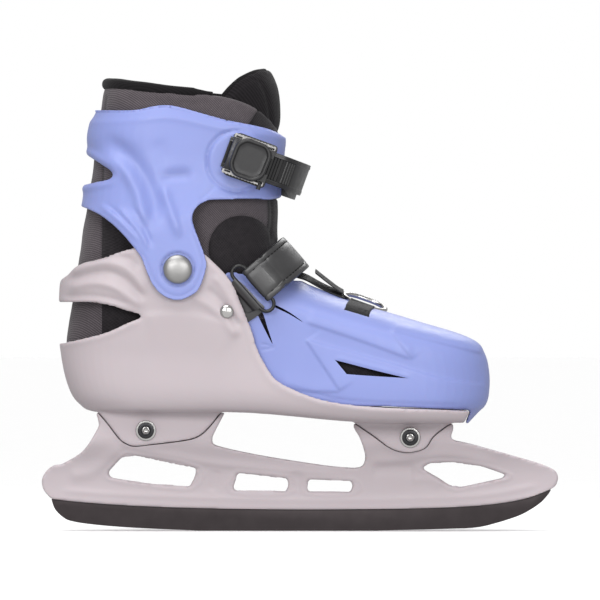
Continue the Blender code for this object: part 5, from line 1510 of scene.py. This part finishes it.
def instep():
    leather_band("instep_strap_leather", 46.0, 28.0, 2.0, 15, 176, 12.0, "base", "instep_strap")
    leather_band("instep_flap_leather", 48.4, 30.4, 1.8, 16, 66, 11.8, None, "instep_flap", fold=True)
    bar_ring("instep_loop", INSTEP_RING, in_middle(INSTEP_ACROSS), in_middle(INSTEP_RISE), 33.4, 9.0, 2.2,
             "rubber", "base", "instep_ring")
    # leather loop round the ring's lower bar, running down behind the edge of the base shell
    behind = float(shell_width(136.0, 0.0)(np.array([-36.0]))[0]) - SHELL_WALL
    loop = [(-17.0, -behind + 1.6), (-13.0, -behind + 0.4), (-10.0, -46.0)]
    turns = np.radians(np.linspace(0, 180, 9))
    loop += [(-9.0 + 1.3 * math.sin(a), -47.6 + 1.35 * math.cos(a)) for a in turns]
    loop += [(-10.4, -48.6), (-12.2, -47.0), (-14.0, -behind + 0.2), (-17.0, -behind + 1.3)]
    sections = wrapped(spread(loop, 4), LOOP_ROWS, lambda e: 11.6 - 0.25 * max(0.0, -9.0 - e))
    dress(swept("anchor_loop", sections), finish_named("leather"), "base", (), 60)
    for side, key in ((-1, "outer"), (1, "inner")):
        patch = shell_loft(f"anchor_leather_{key}", ANCHOR_FACE, SHELL_WALL + GAP, gap=3)
        cut(patch, shell_loft("anchor_under", ANCHOR_UNDER, SHELL_WALL + GAP + 1.1, gap=3))
        low, high = sorted((side * 20, side * FAR))
        cut(patch, slab("anchor_line", outline(ANCHOR_LINE), low, high), "INTERSECT")
        drill(patch, 1.9, -FAR, FAR, in_middle(RIVET), (0, 1, 0), 16)
        soften(patch, 0.3, 50)
        dress(patch, finish_named("leather"), "base", [f"anchor_strap_{key}"], 30)


TOE_RING, TOE_SLOPE = (38.8, 0.0, 137.0), (0.942, 0.0, -0.335)
TAB_PATH = [(36.0, -2.4), (34.7, 0.0), (30.5, 0.0), (27.0, 0.0), (23.0, 0.0), (19.0, 0.0), (15.5, 0.1),
            (13.0, 0.9), (11.6, 2.0), (10.2, 2.9), (9.0, 2.6), (8.2, 1.5), (8.6, 0.4)]     # y, lift
TAB_ROWS = [(-7.0, 0.1), (-7.2, 0.5), (-7.1, 0.9), (-6.4, 1.1), (-5.8, 0.95), (0.0, 0.95), (5.8, 0.95),
            (6.4, 1.1), (7.1, 0.9), (7.2, 0.5), (7.0, 0.1), (0.0, 0.05)]
WEB_PATH = [(-3.0, 154.0), (4.0, 151.8), (12.0, 147.4), (20.0, 143.6), (26.6, 141.2)]
WEB_ROWS = [(-8.5, -0.2), (-8.4, 0.35), (-7.6, 0.62), (-7.0, 0.5), (7.0, 0.5), (7.6, 0.62), (8.4, 0.35),
            (8.5, -0.2), (7.6, -0.6), (-7.6, -0.6)]
TAIL_PATH = [(26.0, 143.2), (22.0, 145.6), (15.0, 151.0), (9.2, 155.6)]
TAIL_ROWS = [(-8.3, 0, -0.3), (-8.3, 0.2, 0.4), (0, 0.3, 0.6), (8.3, 0.2, 0.4), (8.3, 0, -0.3),
             (0, -0.2, -0.4)]


def toe_trim():
    bar_ring("toe_chrome_ring", TOE_RING, TOE_SLOPE, (0.08, 0.975, 0.20), 26.0, 20.0, 3.0, "bright", "toe",
             "toe_ring")
    shell = bpy.data.objects["toe_moulding"]

    def surface(x, y):
        hit, spot, _, _ = shell.ray_cast(Vector((x, y, 250.0)) * MM, Vector((0, 0, -1)))
        if not hit:
            raise RuntimeError(f"no toe shell under {x}, {y}")
        return spot.z / MM

    # folded round the ring's outer bar, then flat on the shell and into its slot
    sections = []
    for y, lift in TAB_PATH:
        section = []
        for u, thick in TAB_ROWS:
            x = 37.6 + u - 0.14 * (y - 10)
            held = TOE_RING[2] + (x - TOE_RING[0]) * TOE_SLOPE[2] / TOE_SLOPE[0] - 4.1 + lift
            ground = surface(x, -y) + 0.2
            height = ground + min(lift, 0.0) if y > 15.0 else max(ground, held)
            share = float(smooth((19.0 - y) / 5.5))
            height = ground * (1 - share) + height * share if y <= 19.0 else height
            section.append((x, -y, height + thick))
        sections.append(section)
    tab = swept("toe_tab_webbing", sections)
    dress(tab, finish_named("webbing"), "toe", ["toe_tab"], 40)

    line = spread(WEB_PATH, 8)
    sections = []
    for i, (x, z) in enumerate(line):
        ahead, behind = line[min(i + 1, len(line) - 1)], line[max(i - 1, 0)]
        direction = Vector((ahead[0] - behind[0], 0, ahead[1] - behind[1])).normalized()
        normal = Vector((-direction.z, 0, direction.x))
        sections.append([Vector((x, y, z + 0.2 * y)) + normal * lift for y, lift in WEB_ROWS])
    web = swept("toe_webbing_band", sections)
    tail = [[(x + dx, y, z + 0.14 * y + dz) for y, dx, dz in TAIL_ROWS] for x, z in spread(TAIL_PATH, 5)]
    web = join("toe_webbing_band", [swept("webbing_tail", tail), web])
    dress(web, finish_named("webbing"), "toe", ["toe_webbing"], 40)


# ---------------------------------------------------------------- rivets, bolts and the size button

WASHER_RING = [(3.3, 0), (6.1, 0), (6.1, 0.6), (5.8, 0.95), (5.4, 1.0), (3.3, 1.0), (3.3, 0)]
BOLT_PROFILE = [(0, 30.2), (2.6, 30.2), (3.0, 29.8), (3.0, 0), (4.7, 0), (4.9, -0.2), (4.9, -1.5),
                (4.5, -2.1), (4.1, -2.2), (3.0, -2.2), (2.7, -1.9), (0, -1.9)]
SOCKET_CUP = [(0, 0), (1.7, 0), (1.9, 0.7), (2.2, 1.2), (2.3, 1.35), (2.1, 1.4), (1.6, 1.1), (0.9, 0.5),
              (0.0, 0.3)]
ANKLE_DOME = [(8.5, 0), (8.7, 0.25), (8.6, 0.8), (8.2, 1.3), (7.4, 1.9), (6.0, 2.5), (4.0, 2.95), (2.0, 3.15),
              (0, 3.2)]
STUD_DOME = [(4.1, 0), (4.2, 0.3), (4.0, 0.8), (3.4, 1.3), (2.4, 1.65), (1.2, 1.85), (0, 1.9)]
BUTTON_CAP = [(7.3, 0), (7.5, 0.3), (7.5, 1.1), (7.1, 1.8), (6.2, 2.2), (5.4, 2.15), (4.6, 1.7), (3.4, 1.5),
              (0, 1.4)]
ANKLE_WALL = 47.9 - SHELL_WALL
SPRING_TURNS, SPRING_LENGTH, SPRING_RADIUS = 2.5, 2.0, 4.6


def headed(name, shank, low, seat, head, place, side, sides):
    """Pin across the boot with a turned head; head is (radius, rise above the seat)."""
    profile = [(0, low), (shank, low), (shank, seat)] + [(radius, seat + rise) for radius, rise in head]
    return turned(name, profile, in_middle(place), (0, side, 0), sides)


def fittings():
    seat = LUG_OUT + GAP
    head = -seat - 1.0 - GAP
    for key, (x, z) in BOLTS.items():
        washer = turned(f"washer_{key}_plated", WASHER_RING, (x, -seat, z), (0, -1, 0), 48)
        dress(washer, finish_named("bright"), "base", [f"washer_{key}"], 30)
        bolt = turned(f"bolt_{key}_black", BOLT_PROFILE, (x, head, z), (0, 1, 0), 40)
        star = [(2.1 * (1 if k % 2 else 0.78), k * math.pi / 6) for k in range(12)]
        socket = [(x + radius * math.cos(a), z + radius * math.sin(a)) for radius, a in star]
        cut(bolt, slab("socket", socket, head - 4, head - 0.5))
        dress(bolt, finish_named("dark_steel"), "base", [f"bolt_{key}"], 30)
        cup = turned(f"bolt_{key}_socket", SOCKET_CUP, (x, head - 0.7, z), (0, -1, 0), 6)
        dress(cup, finish_named("bright"), "base", (), 30)
        hexagon = [(x + 5.0 * math.cos(a), z + 5.0 * math.sin(a)) for a in np.arange(6) * math.pi / 3]
        nut = slab(f"nut_{key}_plated", hexagon, seat, seat + 4.0)
        drill(nut, 3.3, 10, 30, (x, 0, z), (0, 1, 0), 32)
        soften(nut, 0.35)
        dress(nut, finish_named("bright"), "base", [f"nut_{key}"], 30)

    dome_seat = CUFF_STATIONS[0][3] + GAP
    stud_seat = float(shell_width(RIVET[1], 0.0, dropped=True)(RIVET[0])) + 2 * GAP
    for side, key in ((-1, "outer"), (1, "inner")):
        rivet = headed(f"ankle_rivet_{key}_domed", 2.5, ANKLE_WALL - 2.6, dome_seat, ANKLE_DOME, PIVOT, side,
                       64)
        dress(rivet, finish_named("satin"), "base", [f"ankle_rivet_{key}"], 35)
        stud = headed(f"strap_rivet_{key}_domed", 1.5, stud_seat - SHELL_WALL - 1.6, stud_seat, STUD_DOME,
                      RIVET, side, 40)
        dress(stud, finish_named("bright"), "base", [f"strap_rivet_{key}"], 35)

    wall = float(shell_width(BUTTON[1], 0.0)(np.array([BUTTON[0]]))[0])
    button = headed("size_button_cap", 2.6, wall - 7.4, wall + 3.0, BUTTON_CAP, BUTTON, 1, 48)
    dress(button, finish_named("shell_blue"), "button", ["size_button"], 35)
    coil = [(BUTTON[0] + SPRING_RADIUS * math.cos(2 * math.pi * t),
             wall + 0.5 + SPRING_LENGTH * t / SPRING_TURNS,
             BUTTON[1] + SPRING_RADIUS * math.sin(2 * math.pi * t))
            for t in np.linspace(0.0, SPRING_TURNS, 60)]
    spring = tube("button_spring_coil", coil, 0.32, 8, up=(0, 1, 0))
    dress(spring, finish_named("bright"), "base", ["button_spring"], 60)
    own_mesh(spring)

    carried = {"ankle_bush": "nylon", "ankle_washer": "bright", "heel_pad": "insole"}
    for name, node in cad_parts.items():
        for start, finish in carried.items():
            if name.startswith(start):
                node.data.materials.clear()
                node.data.materials.append(finish_named(finish))


# ---------------------------------------------------------------- stage

CENTRE = (0, 0, 0.14)
LAMPS = [("overhead_sun", "SUN", (-0.5, -1.1, 2.4), (0, 0, 0), 1.78, 45),
         ("low_fill", "SUN", (0.3, -2.0, -0.7), (0, 0, 0), 0.65, 90),
         ("key_softbox", "AREA", (-0.75, -1.9, 0.75), CENTRE, 12.0, 0.8),
         ("front_softbox", "AREA", (0.55, -1.8, 0.60), CENTRE, 9.0, 0.75),
         ("back_softbox", "AREA", (0.2, 1.1, 0.9), CENTRE, 5.0, 0.8)]
WORLD_STRENGTH = 0.52


def lamp(name, kind, place, aim, energy, size):
    """Sun, its size an angle in degrees, or softbox, its size in metres."""
    data = bpy.data.lights.new(name, kind)
    data.energy = energy
    if kind == "AREA":
        data.shape, data.size, data.size_y = "RECTANGLE", size, size * 0.7
    else:
        data.angle = math.radians(size)
    light = bpy.data.objects.new(name, data)
    bpy.context.scene.collection.objects.link(light)
    light.location = place
    light.rotation_euler = (Vector(aim) - Vector(place)).to_track_quat("-Z", "Y").to_euler()


def stage():
    scene = bpy.context.scene
    bpy.ops.object.select_all(action="DESELECT")
    bpy.ops.mesh.primitive_plane_add(size=60.0, location=(0, 0, -0.0002))
    floor = bpy.context.active_object
    floor.name = "studio_floor"
    paper = Nodes("studio_floor_paper", 0.9)
    tone = paper.noise(paper.place(), 40.0, 3.0)
    white = paper.blend(paper.spread(tone, 0.3, 0.7, 0.0, 1.0), (0.96, 0.96, 0.96), (0.98, 0.98, 0.98))
    floor.data.materials.append(paper.finish(Base_Color=white, Specular_IOR_Level=0.1))
    floor.visible_diffuse = floor.visible_glossy = floor.visible_shadow = False

    world = bpy.data.worlds.new("studio_light")
    scene.world = world
    world.use_nodes = True
    tree = world.node_tree
    lighting = tree.nodes["Background"]
    seen = tree.nodes.new("ShaderNodeBackground")
    for background, strength in ((lighting, WORLD_STRENGTH), (seen, 1.0)):
        background.inputs["Color"].default_value = (1.0, 1.0, 1.0, 1.0)
        background.inputs["Strength"].default_value = strength
    path = tree.nodes.new("ShaderNodeLightPath")
    mix = tree.nodes.new("ShaderNodeMixShader")
    tree.links.new(path.outputs["Is Camera Ray"], mix.inputs[0])
    tree.links.new(lighting.outputs[0], mix.inputs[1])
    tree.links.new(seen.outputs[0], mix.inputs[2])
    tree.links.new(mix.outputs[0], tree.nodes["World Output"].inputs["Surface"])

    for row in LAMPS:
        lamp(*row)

    sizes = scene.skate_sizes
    data = bpy.data.cameras.new("studio_camera")
    camera = bpy.data.objects.new("studio_camera", data)
    scene.collection.objects.link(camera)
    data.lens, data.sensor_width = 1000.0, 36.0
    distance = sizes.frame_width / data.sensor_width * data.lens
    camera.location = (0.0, -distance, sizes.frame_height_centre)
    camera.rotation_euler = (math.radians(90), 0, 0)
    data.clip_start, data.clip_end = 0.1, 200.0
    scene.camera = camera
    scene.view_settings.view_transform = "Standard"
    scene.view_settings.look = "None"


# ---------------------------------------------------------------- add-on

class SkateSizes(bpy.types.PropertyGroup):
    """Sizes that a user of the model would change."""

    blade_thickness: bpy.props.FloatProperty(
        name="Blade thickness", description="Thickness of the steel runner", default=0.003, min=0.002,
        max=0.005, subtype="DISTANCE", unit="LENGTH")
    size_travel: bpy.props.FloatProperty(
        name="Size travel", description="How far the toe shell slides between its shortest and longest size",
        default=0.020, min=0.0, max=0.024, subtype="DISTANCE", unit="LENGTH")
    frame_width: bpy.props.FloatProperty(
        name="View width", description="Width that the studio camera takes in at the skate", default=0.36,
        min=0.3, max=1.0, subtype="DISTANCE", unit="LENGTH")
    frame_height_centre: bpy.props.FloatProperty(
        name="Camera height", description="Height of the studio camera above the floor", default=0.1384,
        min=0.0, max=1.0, subtype="DISTANCE", unit="LENGTH")


def color_property(name, description, default):
    return bpy.props.FloatVectorProperty(name=name, description=description, default=default, size=3, min=0.0,
                                         max=1.0, subtype="COLOR")


class SkateColors(bpy.types.PropertyGroup):
    """Colours of the skate's finishes, linear."""

    shell_grey: color_property("Base shell", "Pale pinkish grey of the base shell and blade holder",
                               (0.475, 0.416, 0.440))
    shell_blue: color_property("Cuff and toe", "Periwinkle blue of the cuff and toe shell",
                               (0.238, 0.284, 0.60))
    twill: color_property("Twill", "Charcoal of the liner's twill", (0.098, 0.083, 0.092))
    mesh: color_property("Mesh", "Near black of the liner's mesh and padded rims", (0.0115, 0.0095, 0.0115))
    black: color_property("Black parts", "Black of the straps and buckle", (0.011, 0.0105, 0.0115))
    blade: color_property("Blade", "Dark heat-treated blade steel", (0.062, 0.053, 0.055))


STEPS = [("stage", "Stage", "Floor, soft light and camera", stage),
         ("blade", "Blade", "Steel runner with its ground edge", blade),
         ("holder", "Blade holder", "Open moulded holder between boot and blade", holder),
         ("base_shell", "Base shell", "Pale moulded shell with its heel folds and mounting lugs", base_shell),
         ("toe_shell", "Toe shell", "Sliding blue toe shell with its creases, vents and slits", toe_shell),
         ("cuff", "Cuff", "Hinged blue cuff with its band, folds and buckle boss", cuff),
         ("liner", "Liner", "Twill and mesh liner that bends at the ankle", liner),
         ("collar", "Collar", "Padded roll round the top of the liner", collar),
         ("tongue", "Tongue", "Padded tongue with its piping", tongue),
         ("insole", "Insole", "Cloth-faced foam insole", insole),
         ("ratchet_strap", "Ratchet strap", "Toothed cuff strap and its hinge bracket", ratchet_strap),
         ("buckle", "Buckle", "Buckle frame, lever, latch and pins", buckle),
         ("instep", "Instep strap", "Sewn leather straps over the instep, with ring and anchors", instep),
         ("toe_trim", "Toe trim", "Chrome ring, tab and webbing on the toe shell", toe_trim),
         ("fittings", "Fittings", "Bolts, washers, nuts, rivets and the size button", fittings)]


def operator_for(key, label, description, make):
    """One operator that models one piece or group of like pieces."""
    def execute(self, context):
        make()
        return {"FINISHED"}
    return type(f"SKATE_OT_{key}", (bpy.types.Operator,), {
        "__doc__": description, "bl_idname": f"skate.{key}", "bl_label": label, "bl_options": {"REGISTER"},
        "execute": execute})


OPERATORS = [operator_for(*step) for step in STEPS]


class SKATE_PT_panel(bpy.types.Panel):
    """Lists the skate's sizes, colours and modelling steps."""

    bl_idname = "SKATE_PT_panel"
    bl_label = "Ice Skate"
    bl_space_type = "VIEW_3D"
    bl_region_type = "UI"
    bl_category = "Ice Skate"

    def draw(self, context):
        sizes, colors = context.scene.skate_sizes, context.scene.skate_colors
        for group in (sizes, colors):
            for key in group.bl_rna.properties.keys():
                if key not in ("rna_type", "name"):
                    self.layout.prop(group, key)
        for step in STEPS:
            self.layout.operator(f"skate.{step[0]}")


CLASSES = [SkateSizes, SkateColors, *OPERATORS, SKATE_PT_panel]


def register():
    for cls in CLASSES:
        bpy.utils.register_class(cls)
    bpy.types.Scene.skate_sizes = bpy.props.PointerProperty(type=SkateSizes)
    bpy.types.Scene.skate_colors = bpy.props.PointerProperty(type=SkateColors)


def unregister():
    del bpy.types.Scene.skate_colors
    del bpy.types.Scene.skate_sizes
    for cls in reversed(CLASSES):
        bpy.utils.unregister_class(cls)


def main():
    register()
    for step in STEPS:
        getattr(bpy.ops.skate, step[0])()


if __name__ == "__main__":
    main()
